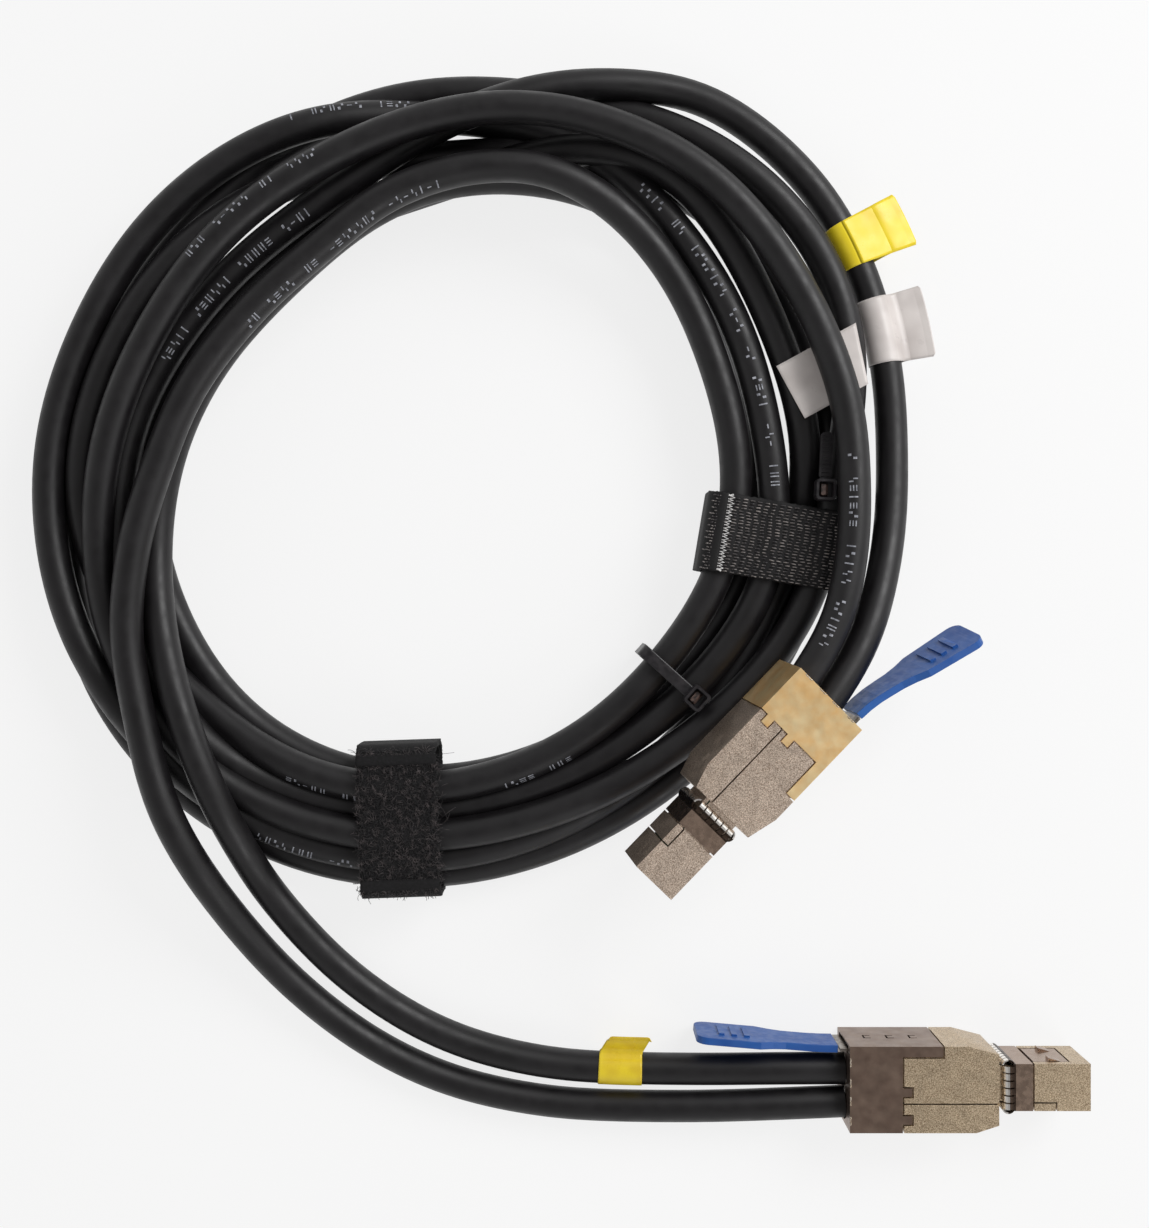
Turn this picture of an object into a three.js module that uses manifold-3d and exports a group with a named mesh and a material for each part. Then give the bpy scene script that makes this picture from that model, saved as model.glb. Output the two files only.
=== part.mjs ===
// Coiled storage cable: two latching plugs joined by two parallel round cables, with straps, ties and flags.
// Millimetres, +Z up. A plug has its own frame: X from rear to nose, Y from far side to tab side, Z from
// its lower to its upper broad face.
import * as THREE from 'three';
import { mergeVertices } from 'three/addons/utils/BufferGeometryUtils.js';
import Module from 'manifold-3d';

const wasm = await Module();
wasm.setup();

// Clearance between neighbouring pieces
const gap = 0.3;

// Cable
const cableDiameter = 6.5;
const cableRadius = cableDiameter / 2;
const cableSides = 10;

// Plug body, neck and nose
const bodyLength = 30.2;
const bodyHeight = 17.5;
const bodyWidth = 14.2;
const tabChamferLength = 6.2;
const tabChamferDrop = 1.6;
const farChamferLength = 4.6;
const farChamferRise = 1.5;
const neckLength = 7.4;
const noseLength = 11.4;
const noseHeight = 9.55;
const noseBase = 4.2;
const noseWidth = 12.5;
const noseSideWall = 0.8;
const noseFarWall = 0.8;
const cardBayHeight = 5.8;
const seamHeight = 5.85;
const seamLugLength = 4.3;
const bodyFarWall = 2;
const bayStart = 9.5;

// Rear cover, folded from sheet
const coverSheet = 0.4;
const coverLength = 10.7;
const coverArmLength = 8.2;
const coverArmDepth = 2.15;
const coverTabLength = 1.9;
const coverTabWidth = 1.7;
const coverTabHeights = [2.6, 8.2];
const coverLanceLength = 1.6;
const coverLanceWidth = 2.2;
const coverLanceCut = 0.35;
const coverLanceCount = 3;

// Spring-finger collar
const collarSheet = 0.4;
const collarBandLength = 4;
const fingerPitch = 1.5;
const fingerGap = 0.3;
const fingerReach = 2.3;
const fingerRise = 0.85;
const fingerSheet = 0.3;

// Cable exits and ferrules
const exitHeights = { low: 4.2, high: 11 };
const ferruleLength = 7.6;
const ferruleBore = 1.4;

// Contact cards and wire organizer
const cardThickness = 1;
const cardLength = 21.4;
const cardPitch = 3;
const cardSetback = 4.4;
const cardLeadIn = 0.3;
const organizerLength = 9;

// Pull slide and latch
const slideSheet = 0.6;
const slideWidth = 10;
const slideLength = 18;
const slideLip = 1.5;
const slideTail = 1.6;
const pullTravel = 2.5;
const latchSheet = 0.6;
const latchWidth = 9;
const latchPivotX = 24.5;
const latchPivotHeight = 13.6;
const latchRear = 5.6;
const latchEnd = 4;
const latchBarrel = 1.4;
const pinRadius = 0.5;
const pinInset = 1;
const hookRise = 0.7;
const hookLength = 2.5;
const hookWidth = 2;
const hookSetback = 1.5;

// Pull tab
const tabLength = 29;
const tabThickness = 1.5;
const tabStemWidth = 8.6;
const tabGripWidth = 12;
const tabGripLength = 14.5;
const tabShoulder = 2;
const tabCorner = 2.4;
const tabBendLength = 7;
const ribHeight = 0.4;
const ribLength = 1.2;
const ribPitch = 2.6;
const ribWidth = 6.4;
const ribCount = 3;
const ribSetback = 4.6;

// Where the plugs lie
const upperPlug = { x: 41.1, y: -9.1, z: 16.8, heading: 225.7, pitch: 2.6, roll: -9.2, tabBend: 14.4, tabTwist: 10 };
const lowerPlug = { x: 55.7, y: -105, z: 0, heading: 0, pitch: 0, roll: 0, tabBend: 5, tabTwist: 0 };

// Coil: an oval ring, two layers of cable high
const coilX = -25.7;
const coilY = 28.3;
const coilLongRadius = 76;
const coilShortRadius = 66.5;
const coilAxisAngle = 42;
const coilWidth = 26.6;
const coilHeight = 13.2;
const coilRadius = (coilLongRadius + coilShortRadius) / 2;

// Straps and ties round the coil
const strapThickness = 1.5;
const strapWidth = 16;
const strapCorner = 3;
const tieThickness = 1.1;
const tieWidth = 2.5;
const tieCorner = 0.9;
const tieHeadLength = 4.4;
const tieHeadWidth = 4.2;
const tieHeadHeight = 3.4;

// Labels
const labelSheet = 0.3;
const labelLooseness = 0.3;

// Heights of the coil above the surface that the straps rest on
const coilBottom = strapThickness + gap;
const coilTop = coilBottom + coilHeight;

// Routes of the free cable stretches, from the coil's end or the plug outwards
const leadAPoints = [
  [51.6, -2.8, 22.3],
  [53.9, 6.3, 21.6],
  [55.4, 15.4, 21],
  [55.5, 22.5, 20.6],
  [55.4, 30.4, 20],
  [55, 38, 19.6],
  [53.2, 45.5, 19.5],
  [50.6, 53, 19.4],
  [47.5, 60.3, 19],
  [43.5, 67.5, 18.8],
  [37.9, 76, 18.8],
  [30.8, 84.1, 18.8],
  [24.6, 89.1, 18.8],
];
const leadBPoints = [
  [56.9, -7.2, 19.6],
  [60.8, 2.8, 16.4],
  [63.5, 13, 13.2],
  [65, 23.4, 10.6],
  [65.3, 33.7, 9],
  [65.2, 44.2, 8.2],
  [64.1, 53.5, 8],
  [62, 62.8, 8],
  [58.9, 71.8, 8],
  [55.8, 78.2, 8],
  [51.3, 85.9, 8],
  [45.5, 92.5, 8],
  [37.9, 99.5, 8],
  [28.8, 105.5, 8],
  [23.8, 107.6, 8],
];
const tailAPoints = [
  [-23.2, 88.7, 18.8],
  [-38.9, 82.8, 18.8],
  [-48.7, 74.5, 18.8],
  [-58, 67, 18.8],
  [-66, 59.1, 18.8],
  [-76.6, 45.3, 18.8],
  [-82.1, 32.1, 18.8],
  [-87.3, 16.1, 18.8],
  [-89.3, 1.4, 18.8],
  [-89.2, -8, 18.8],
  [-86.7, -19.7, 18.8],
  [-84.7, -29.8, 18.8],
  [-81.4, -40.4, 18.7],
  [-75.9, -51.4, 16],
  [-72.2, -58.3, 12.6],
  [-64.9, -69.4, 8],
  [-57.1, -78.2, 5.6],
  [-47, -86.8, 4],
  [-36.6, -93.2, 3.5],
  [-26.1, -97.7, 3.5],
  [-15.6, -100.4, 3.5],
  [-5.1, -102.1, 3.6],
  [5.3, -102.7, 4],
  [26.1, -102.4, 5.6],
  [44, -101.4, 6.8],
];
const tailBPoints = [
  [-64.4, -55.6, 8],
  [-61.5, -59.2, 8],
  [-56.9, -65, 7.2],
  [-52.7, -69.8, 6.2],
  [-46.8, -75.6, 5.2],
  [-36.5, -83.2, 4.3],
  [-26.1, -88.5, 4.2],
  [-15.6, -91.8, 4.2],
  [-5.1, -93.8, 4.3],
  [5.3, -94.6, 4.6],
  [26.1, -94.7, 5.5],
  [44, -94.1, 6.8],
];

// Finishes
const finish = (color, roughness, metalness = 0) =>
  new THREE.MeshStandardMaterial({ color, roughness, metalness });
const castMetal = finish(0xa58d76, 0.5, 0.9);
const coverMetal = finish(0x8b7561, 0.3, 1);
const springMetal = finish(0xcfc6b8, 0.2, 1);
const steel = finish(0x9a9a98, 0.35, 1);
const bluePlastic = finish(0x2f6bb0, 0.45);
const boardGreen = finish(0x1f5a3a, 0.5);
const paleMould = finish(0xd9d4c6, 0.6);
const jacket = finish(0x232124, 0.6);
const nylon = finish(0x141414, 0.45);
const webbing = finish(0x0e0d0f, 0.95);
const yellowLabel = finish(0xe9cf24, 0.5);
const whiteLabel = finish(0xe4d9d0, 0.6);

// Solids from meshes and back

function toSolid(source) {
  const bare = source.index ? source.toNonIndexed() : source.clone();
  bare.deleteAttribute('normal');
  bare.deleteAttribute('uv');
  const merged = mergeVertices(bare, 1e-4);
  return new wasm.Manifold(new wasm.Mesh({
    numProp: 3,
    vertProperties: new Float32Array(merged.attributes.position.array),
    triVerts: new Uint32Array(merged.index.array),
  }));
}

function toGeometry(solid) {
  const mesh = solid.getMesh();
  const geometry = new THREE.BufferGeometry();
  geometry.setAttribute('position', new THREE.BufferAttribute(new Float32Array(mesh.vertProperties), 3));
  geometry.setIndex(new THREE.BufferAttribute(new Uint32Array(mesh.triVerts), 1));
  const faceted = geometry.toNonIndexed();
  faceted.computeVertexNormals();
  return faceted;
}

const join = (solids) => solids.reduce((whole, next) => whole.add(next));
const cut = (solid, tools) => tools.reduce((rest, tool) => rest.subtract(tool), solid);

function block(low, high) {
  const size = high.map((value, axis) => value - low[axis]);
  const geometry = new THREE.BoxGeometry(...size);
  geometry.translate(...low.map((value, axis) => value + size[axis] / 2));
  return toSolid(geometry);
}

function grownBlock(low, high, growth) {
  return block(low.map((value) => value - growth), high.map((value) => value + growth));
}

// A shape in the XY plane carried from one Z to another.
function prism(shape, zLow, zHigh, curveSegments = 6) {
  const geometry = new THREE.ExtrudeGeometry(shape, { depth: zHigh - zLow, bevelEnabled: false, curveSegments });
  geometry.translate(0, 0, zLow);
  return toSolid(geometry);
}

function rodAlongX(radius, xLow, xHigh, y, z, sides = 24) {
  const geometry = new THREE.CylinderGeometry(radius, radius, xHigh - xLow, sides);
  geometry.rotateZ(-Math.PI / 2);
  geometry.translate((xLow + xHigh) / 2, y, z);
  return toSolid(geometry);
}

function rodAlongZ(radius, zLow, zHigh, x, y, sides = 20) {
  const geometry = new THREE.CylinderGeometry(radius, radius, zHigh - zLow, sides);
  geometry.rotateX(Math.PI / 2);
  geometry.translate(x, y, (zLow + zHigh) / 2);
  return toSolid(geometry);
}

// A skin over a row of equal closed sections, with flat ends.
function loft(sections) {
  const count = sections[0].length;
  const positions = sections.flat().flatMap((point) => point.toArray());
  const index = [];
  for (let row = 0; row + 1 < sections.length; row += 1) {
    for (let side = 0; side < count; side += 1) {
      const next = (side + 1) % count;
      const [a, b] = [row * count + side, row * count + next];
      const [c, d] = [a + count, b + count];
      index.push(a, b, d, a, d, c);
    }
  }
  const last = (sections.length - 1) * count;
  for (let side = 1; side + 1 < count; side += 1) {
    index.push(0, side + 1, side);
    index.push(last, last + side, last + side + 1);
  }
  const geometry = new THREE.BufferGeometry();
  geometry.setAttribute('position', new THREE.Float32BufferAttribute(positions, 3));
  geometry.setIndex(index);
  return toSolid(geometry);
}

// A rectangle with round corners, centred at a point.
function roundedRectangle(width, height, radius, x = 0, y = 0, Kind = THREE.Shape) {
  const [left, right] = [x - width / 2, x + width / 2];
  const [bottom, top] = [y - height / 2, y + height / 2];
  const shape = new Kind();
  shape.moveTo(left + radius, bottom);
  shape.lineTo(right - radius, bottom);
  shape.absarc(right - radius, bottom + radius, radius, -Math.PI / 2, 0);
  shape.lineTo(right, top - radius);
  shape.absarc(right - radius, top - radius, radius, 0, Math.PI / 2);
  shape.lineTo(left + radius, top);
  shape.absarc(left + radius, top - radius, radius, Math.PI / 2, Math.PI);
  shape.lineTo(left, bottom + radius);
  shape.absarc(left + radius, bottom + radius, radius, Math.PI, 1.5 * Math.PI);
  return shape;
}

function mesh(name, solid, material) {
  const piece = new THREE.Mesh(toGeometry(solid), material);
  piece.name = name;
  return piece;
}

// Plug: heights and lengths that several pieces share
const plugLength = bodyLength + neckLength + noseLength;
const noseStart = bodyLength + neckLength;
const noseTop = noseBase + noseHeight;
const noseLow = (bodyWidth - noseWidth) / 2;
const noseHigh = noseLow + noseWidth;
const neckInset = collarSheet + gap;
const coverInset = coverSheet + gap;
const bayLow = noseLow + noseSideWall;
const bayHigh = noseHigh - noseSideWall;
const bayBase = noseBase + noseFarWall;
const bayTop = bayBase + cardBayHeight;
const ferruleRadius = cableRadius;
const boreRadius = ferruleRadius + gap;
const ferruleStart = coverSheet / 2 + gap;
const middle = bodyWidth / 2;
const latchLow = middle - latchWidth / 2;
const latchHigh = middle + latchWidth / 2;
const latchFloor = bayTop + noseFarWall;
const slideTop = bodyHeight - coverSheet - 2 * gap;
const slideBase = slideTop - slideSheet;
const slideLipBase = slideBase - slideLip;
const slideLow = middle - slideWidth / 2;
const slideHigh = middle + slideWidth / 2;
const armEnd = coverLength + coverArmLength;

function bodyOutline() {
  const outline = new THREE.Shape();
  outline.moveTo(coverInset, 0);
  outline.lineTo(bodyLength - farChamferLength, 0);
  outline.lineTo(bodyLength, farChamferRise);
  outline.lineTo(bodyLength, bodyHeight - tabChamferDrop);
  outline.lineTo(bodyLength - tabChamferLength, bodyHeight);
  outline.lineTo(coverInset, bodyHeight);
  return outline;
}

// The cover's sheet, or the room that it needs when it is grown by the clearance.
function coverSheets(growth) {
  const broadFaces = [[0, coverSheet], [bodyWidth - coverSheet, bodyWidth]];
  const sheets = broadFaces.flatMap(([zLow, zHigh]) => [
    grownBlock([0, 0, zLow], [coverLength, bodyHeight, zHigh], growth),
    grownBlock([coverSheet, bodyHeight - coverArmDepth, zLow], [armEnd, bodyHeight, zHigh], growth),
    ...coverTabHeights.map((height) => grownBlock(
      [coverSheet, height - coverTabWidth / 2, zLow],
      [coverLength + coverTabLength, height + coverTabWidth / 2, zHigh],
      growth,
    )),
  ]);
  sheets.push(grownBlock([0, bodyHeight - coverSheet, 0], [armEnd, bodyHeight, bodyWidth], growth));
  sheets.push(grownBlock([0, 0, 0], [coverLength, coverSheet, bodyWidth], growth));
  sheets.push(grownBlock([0, 0, 0], [coverSheet, bodyHeight, bodyWidth], growth));
  return join(sheets);
}

// Three-sided cuts in the cover's tab-side wall, each leaving a small tongue.
function coverLances() {
  const pitch = armEnd / (coverLanceCount + 1);
  const [yLow, yHigh] = [bodyHeight - coverSheet - gap, bodyHeight + gap];
  const cuts = [];
  for (let step = 1; step <= coverLanceCount; step += 1) {
    const [xLow, xHigh] = [step * pitch - coverLanceLength / 2, step * pitch + coverLanceLength / 2];
    const [zLow, zHigh] = [middle - coverLanceWidth / 2, middle + coverLanceWidth / 2];
    cuts.push(block([xLow, yLow, zLow], [xLow + coverLanceCut, yHigh, zHigh]));
    cuts.push(block([xLow, yLow, zLow], [xHigh, yHigh, zLow + coverLanceCut]));
    cuts.push(block([xLow, yLow, zHigh - coverLanceCut], [xHigh, yHigh, zHigh]));
  }
  return cuts;
}

function rearCover() {
  const exits = Object.values(exitHeights).map((height) =>
    rodAlongX(boreRadius, -gap, coverSheet + gap, height, middle));
  const slot = block(
    [-gap, slideBase - 2 * gap, slideLow - gap],
    [coverSheet + gap, bodyHeight - coverSheet, slideHigh + gap],
  );
  return cut(coverSheets(0), [...exits, slot, ...coverLances()]);
}

// Both castings before they part at the seam.
function casting() {
  const outside = join([
    prism(bodyOutline(), 0, bodyWidth),
    block(
      [bodyLength - gap, noseBase + neckInset, noseLow + neckInset],
      [noseStart + gap, noseTop - neckInset, noseHigh - neckInset],
    ),
    block([noseStart, noseBase, noseLow], [plugLength, noseTop, noseHigh]),
  ]);
  const bores = Object.values(exitHeights).map((height) =>
    rodAlongX(boreRadius, -gap, bayStart + gap, height, middle));
  const bodyBay = block([bayStart, bodyFarWall, bayLow], [bodyLength - bodyFarWall, bayTop, bayHigh]);
  const noseBay = block([bayStart, bayBase, bayLow], [plugLength + gap, bayTop, bayHigh]);
  return cut(outside, [coverSheets(gap), ...bores, bodyBay, noseBay, ...mechanismRoom()]);
}

// Room for the slide, the latch with its travel, and the pin.
function mechanismRoom() {
  const pocketEnd = latchPivotX + latchBarrel + 3 * gap;
  const latchNose = plugLength - latchEnd;
  const slideRoom = block(
    [0, slideBase - gap, slideLow - gap],
    [slideLength + gap, bodyHeight - coverSheet, slideHigh + gap],
  );
  const lipRoom = block(
    [slideLength - slideSheet - pullTravel - gap, slideLipBase - gap, slideLow - gap],
    [slideLength + gap, slideBase, slideHigh + gap],
  );
  const pocket = block(
    [slideLength, latchFloor + gap, latchLow - gap],
    [pocketEnd, latchPivotHeight + latchBarrel + gap, latchHigh + gap],
  );
  const throat = block(
    [pocketEnd - gap, latchFloor, latchLow - gap],
    [bodyLength + gap, noseTop - neckInset, latchHigh + gap],
  );
  const channel = block(
    [bodyLength, latchFloor, latchLow - gap],
    [latchNose + gap, noseTop + gap, latchHigh + gap],
  );
  const pinHole = rodAlongZ(
    pinRadius + gap, pinInset - gap, bodyWidth - pinInset + gap, latchPivotX, latchPivotHeight);
  return [slideRoom, lipRoom, pocket, throat, channel, pinHole];
}

const lugEnd = noseStart + seamLugLength;

function topShell() {
  const farSide = block([-gap, -gap, -gap], [lugEnd + gap, seamHeight + gap / 2, bodyWidth + gap]);
  return casting().subtract(farSide);
}

function bottomShell() {
  const farSide = block([-gap, -gap, -gap], [lugEnd, seamHeight - gap / 2, bodyWidth + gap]);
  return casting().intersect(farSide);
}

// One finger in profile: an arch from the band back towards the body.
function fingerProfile() {
  const radius = (fingerReach ** 2 / 4 + fingerRise ** 2) / (2 * fingerRise);
  const half = Math.asin(fingerReach / 2 / radius);
  const [outer, inner] = [radius + fingerSheet / 2, radius - fingerSheet / 2];
  const arch = new THREE.Shape();
  arch.absarc(0, fingerRise - radius, outer, Math.PI / 2 - half, Math.PI / 2 + half, false);
  arch.absarc(0, fingerRise - radius, inner, Math.PI / 2 + half, Math.PI / 2 - half, true);
  return arch;
}

// A row of fingers along one face of the neck, standing on the height of that face.
function fingerRow(width) {
  const count = Math.floor((width + fingerGap) / fingerPitch);
  const start = -((count - 1) * fingerPitch) / 2;
  const across = fingerPitch - fingerGap;
  const row = [];
  for (let step = 0; step < count; step += 1) {
    const place = start + step * fingerPitch;
    row.push(prism(fingerProfile(), place - across / 2, place + across / 2, 4));
  }
  return join(row);
}

function emiCollar() {
  const bandEnd = noseStart - gap;
  const bandStart = bandEnd - collarBandLength;
  const [yLow, yHigh] = [noseBase, noseTop];
  const band = block([bandStart, yLow, noseLow], [bandEnd, yHigh, noseHigh]).subtract(block(
    [bandStart - gap, yLow + collarSheet, noseLow + collarSheet],
    [bandEnd + gap, yHigh - collarSheet, noseHigh - collarSheet],
  ));
  const archX = bandStart - fingerReach / 2 + fingerSheet;
  const yMiddle = (yLow + yHigh) / 2;
  const zMiddle = (noseLow + noseHigh) / 2;
  const seat = fingerSheet / 2;
  const faces = [
    { width: noseWidth - 2 * collarSheet, turn: 0, lift: noseHeight / 2 - collarSheet + seat },
    { width: noseHeight - 2 * collarSheet, turn: 90, lift: noseWidth / 2 - collarSheet + seat },
    { width: noseWidth - 2 * collarSheet, turn: 180, lift: noseHeight / 2 - collarSheet + seat },
    { width: noseHeight - 2 * collarSheet, turn: 270, lift: noseWidth / 2 - collarSheet + seat },
  ];
  const rows = faces.map(({ width, turn, lift }) =>
    fingerRow(width).translate([archX, lift, 0]).rotate([turn, 0, 0]).translate([0, yMiddle, zMiddle]));
  return join([band, ...rows]);
}

// Stamped latch: barrel on the pin, rear lever, arm under the collar, raised end with two hooks.
function latch() {
  const armBase = noseTop - neckInset - gap / 3 - latchSheet;
  const armTop = armBase + latchSheet;
  const raisedTop = noseTop - gap / 6;
  const raisedBase = raisedTop - latchSheet;
  const end = plugLength - latchEnd;
  const stepX = noseStart + gap;
  const outline = new THREE.Shape();
  outline.moveTo(latchPivotX, armBase);
  outline.lineTo(stepX + latchSheet, armBase);
  outline.lineTo(stepX + latchSheet, raisedBase);
  outline.lineTo(end, raisedBase);
  outline.lineTo(end, raisedTop);
  outline.lineTo(stepX, raisedTop);
  outline.lineTo(stepX, armTop);
  outline.lineTo(latchPivotX, armTop);
  const arm = prism(outline, latchLow, latchHigh);
  const lever = block(
    [latchPivotX - latchRear, latchPivotHeight - latchSheet / 2, latchLow],
    [latchPivotX, latchPivotHeight + latchSheet / 2, latchHigh],
  );
  const barrel = rodAlongZ(latchBarrel, latchLow, latchHigh, latchPivotX, latchPivotHeight);
  const hooks = [latchLow, latchHigh - hookWidth].map((zLow) => {
    const tooth = new THREE.Shape();
    tooth.moveTo(end - hookSetback, raisedTop - latchSheet / 2);
    tooth.lineTo(end - hookSetback - hookLength, raisedTop - latchSheet / 2);
    tooth.lineTo(end - hookSetback - hookLength, raisedTop + hookRise);
    tooth.lineTo(end - hookSetback, raisedTop);
    return prism(tooth, zLow, zLow + hookWidth);
  });
  const bore = rodAlongZ(pinRadius + gap, latchLow - gap, latchHigh + gap, latchPivotX, latchPivotHeight);
  return join([arm, lever, barrel, ...hooks]).subtract(bore);
}

function pullSlide() {
  const strip = block([-slideTail, slideBase, slideLow], [slideLength, slideTop, slideHigh]);
  const lip = block(
    [slideLength - slideSheet, slideLipBase, slideLow],
    [slideLength, slideTop, slideHigh],
  );
  return join([strip, lip]);
}

// Half the tab's width at a distance from its root.
function tabHalfWidth(along) {
  const gripStart = tabLength - tabGripLength;
  const blend = THREE.MathUtils.smoothstep(along, gripStart - tabShoulder, gripStart);
  const half = THREE.MathUtils.lerp(tabStemWidth, tabGripWidth, blend) / 2;
  const intoCorner = Math.max(0, along - (tabLength - tabCorner));
  return half - tabCorner + Math.sqrt(Math.max(0, tabCorner ** 2 - intoCorner ** 2));
}

// Where a point of the tab lies: its middle line bends away from the cables, and its width turns about it.
function tabFrame(along, bend, twist) {
  const bendTo = THREE.MathUtils.degToRad(bend);
  const radius = tabBendLength / Math.max(bendTo, 1e-6);
  const turned = Math.min(along, tabBendLength) / radius;
  const straight = Math.max(0, along - tabBendLength);
  const point = new THREE.Vector3(
    -radius * Math.sin(turned) - straight * Math.cos(turned),
    radius * (1 - Math.cos(turned)) + straight * Math.sin(turned),
    0,
  );
  const roll = THREE.MathUtils.degToRad(twist) * (along / tabLength);
  const out = new THREE.Vector3(Math.sin(turned), Math.cos(turned), 0);
  const across = new THREE.Vector3(0, 0, Math.cos(roll)).addScaledVector(out, Math.sin(roll));
  const normal = out.clone().multiplyScalar(Math.cos(roll)).add(new THREE.Vector3(0, 0, -Math.sin(roll)));
  return { point, across, normal };
}

function tabStrip(stations, halfWidthAt, thickness, place) {
  const sections = stations.map((along) => {
    const { point, across, normal } = tabFrame(along, place.tabBend, place.tabTwist);
    const half = halfWidthAt(along);
    const corner = (side, face) => point.clone()
      .addScaledVector(across, side * half)
      .addScaledVector(normal, (face * thickness) / 2);
    return [corner(-1, -1), corner(1, -1), corner(1, 1), corner(-1, 1)];
  });
  return loft(sections);
}

function pullTab(place) {
  const stations = [0];
  const straightSteps = 10;
  const cornerSteps = 5;
  for (let step = 1; step <= straightSteps; step += 1) {
    stations.push(((tabLength - tabCorner) * step) / straightSteps);
  }
  for (let step = 1; step <= cornerSteps; step += 1) {
    stations.push(tabLength - tabCorner + tabCorner * Math.sin((step / cornerSteps) * 1.45));
  }
  const strips = [tabStrip(stations, tabHalfWidth, tabThickness, place)];
  for (let step = 0; step < ribCount; step += 1) {
    const start = tabLength - ribSetback - ribLength - step * ribPitch;
    strips.push(tabStrip([start, start + ribLength], () => ribWidth / 2, tabThickness + 2 * ribHeight, place));
  }
  return join(strips).translate([-slideTail - gap, (slideBase + slideTop) / 2, middle]);
}

// A card with its contact edge tapered on both faces.
function paddleCard(height) {
  const tip = plugLength - cardSetback;
  const outline = new THREE.Shape();
  outline.moveTo(tip - cardLength, height - cardThickness / 2);
  outline.lineTo(tip - 2 * cardLeadIn, height - cardThickness / 2);
  outline.lineTo(tip, height - cardThickness / 2 + cardLeadIn);
  outline.lineTo(tip, height + cardThickness / 2 - cardLeadIn);
  outline.lineTo(tip - 2 * cardLeadIn, height + cardThickness / 2);
  outline.lineTo(tip - cardLength, height + cardThickness / 2);
  return prism(outline, bayLow + gap, bayHigh - gap);
}

function wireOrganizer() {
  const end = plugLength - cardSetback - cardLength - gap;
  return block(
    [end - organizerLength, bodyFarWall + gap, bayLow + gap],
    [end, bayTop - gap, bayHigh - gap],
  );
}

// Crimped sleeve on the cable's end, stepped down towards the bay and bored for the wires.
function cableFerrule(height) {
  const wide = ferruleRadius;
  const narrow = ferruleRadius * 0.8;
  const step = ferruleLength * 0.7;
  const profile = [
    new THREE.Vector2(ferruleBore, 0),
    new THREE.Vector2(wide, 0),
    new THREE.Vector2(wide, step),
    new THREE.Vector2(narrow, step),
    new THREE.Vector2(narrow, ferruleLength),
    new THREE.Vector2(ferruleBore, ferruleLength),
    new THREE.Vector2(ferruleBore, 0),
  ];
  const geometry = new THREE.LatheGeometry(profile, 24);
  geometry.rotateZ(-Math.PI / 2);
  geometry.translate(ferruleStart, height, middle);
  return toSolid(geometry);
}

function plug(prefix, place) {
  const group = new THREE.Group();
  const cardMiddle = (bayBase + bayTop) / 2;
  group.add(mesh(`${prefix}_top_shell`, topShell(), castMetal));
  group.add(mesh(`${prefix}_bottom_shell`, bottomShell(), castMetal));
  group.add(mesh(`${prefix}_rear_cover`, rearCover(), coverMetal));
  group.add(mesh(`${prefix}_emi_collar`, emiCollar(), springMetal));
  group.add(mesh(`${prefix}_latch`, latch(), coverMetal));
  group.add(mesh(`${prefix}_latch_pin`, rodAlongZ(
    pinRadius, pinInset, bodyWidth - pinInset, latchPivotX, latchPivotHeight), steel));
  group.add(mesh(`${prefix}_pull_slide`, pullSlide(), steel));
  group.add(mesh(`${prefix}_pull_tab`, pullTab(place), bluePlastic));
  group.add(mesh(`${prefix}_paddle_card_low`, paddleCard(cardMiddle - cardPitch / 2), boardGreen));
  group.add(mesh(`${prefix}_paddle_card_high`, paddleCard(cardMiddle + cardPitch / 2), boardGreen));
  group.add(mesh(`${prefix}_wire_organizer`, wireOrganizer(), paleMould));
  group.add(mesh(`${prefix}_cable_ferrule_low`, cableFerrule(exitHeights.low), steel));
  group.add(mesh(`${prefix}_cable_ferrule_high`, cableFerrule(exitHeights.high), steel));
  group.applyMatrix4(plugMatrix(place));
  return group;
}

function plugMatrix(place) {
  const angles = [place.roll, -place.pitch, place.heading].map(THREE.MathUtils.degToRad);
  const matrix = new THREE.Matrix4().makeRotationFromEuler(new THREE.Euler(...angles, 'ZYX'));
  return matrix.setPosition(place.x, place.y, place.z);
}

// Two points on a plug's cable axis: where the cable ends in the plug, and just behind the plug.
function exitPoints(place, height) {
  const straightRun = 5;
  return [ferruleStart - gap, -straightRun].map((x) =>
    new THREE.Vector3(x, height, middle).applyMatrix4(plugMatrix(place)));
}

const vectors = (points) => points.map((point) => new THREE.Vector3(...point));
const route = (points) => new THREE.CatmullRomCurve3(points, false, 'centripetal');

const leadACurve = route([...exitPoints(upperPlug, exitHeights.low), ...vectors(leadAPoints)]);
const leadBCurve = route([...exitPoints(upperPlug, exitHeights.high), ...vectors(leadBPoints)]);
const tailACurve = route([...vectors(tailAPoints), ...exitPoints(lowerPlug, exitHeights.low).reverse()]);
const tailBCurve = route([...vectors(tailBPoints), ...exitPoints(lowerPlug, exitHeights.high).reverse()]);

function cableTube(curve) {
  const section = new THREE.Shape();
  for (let side = 0; side < cableSides; side += 1) {
    const angle = (2 * Math.PI * side) / cableSides;
    section[side ? 'lineTo' : 'moveTo'](cableRadius * Math.cos(angle), cableRadius * Math.sin(angle));
  }
  const steps = Math.ceil(curve.getLength() / (2.2 * cableDiameter));
  return toSolid(new THREE.ExtrudeGeometry(section, { steps, extrudePath: curve, bevelEnabled: false }));
}

// Coil ring

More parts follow.
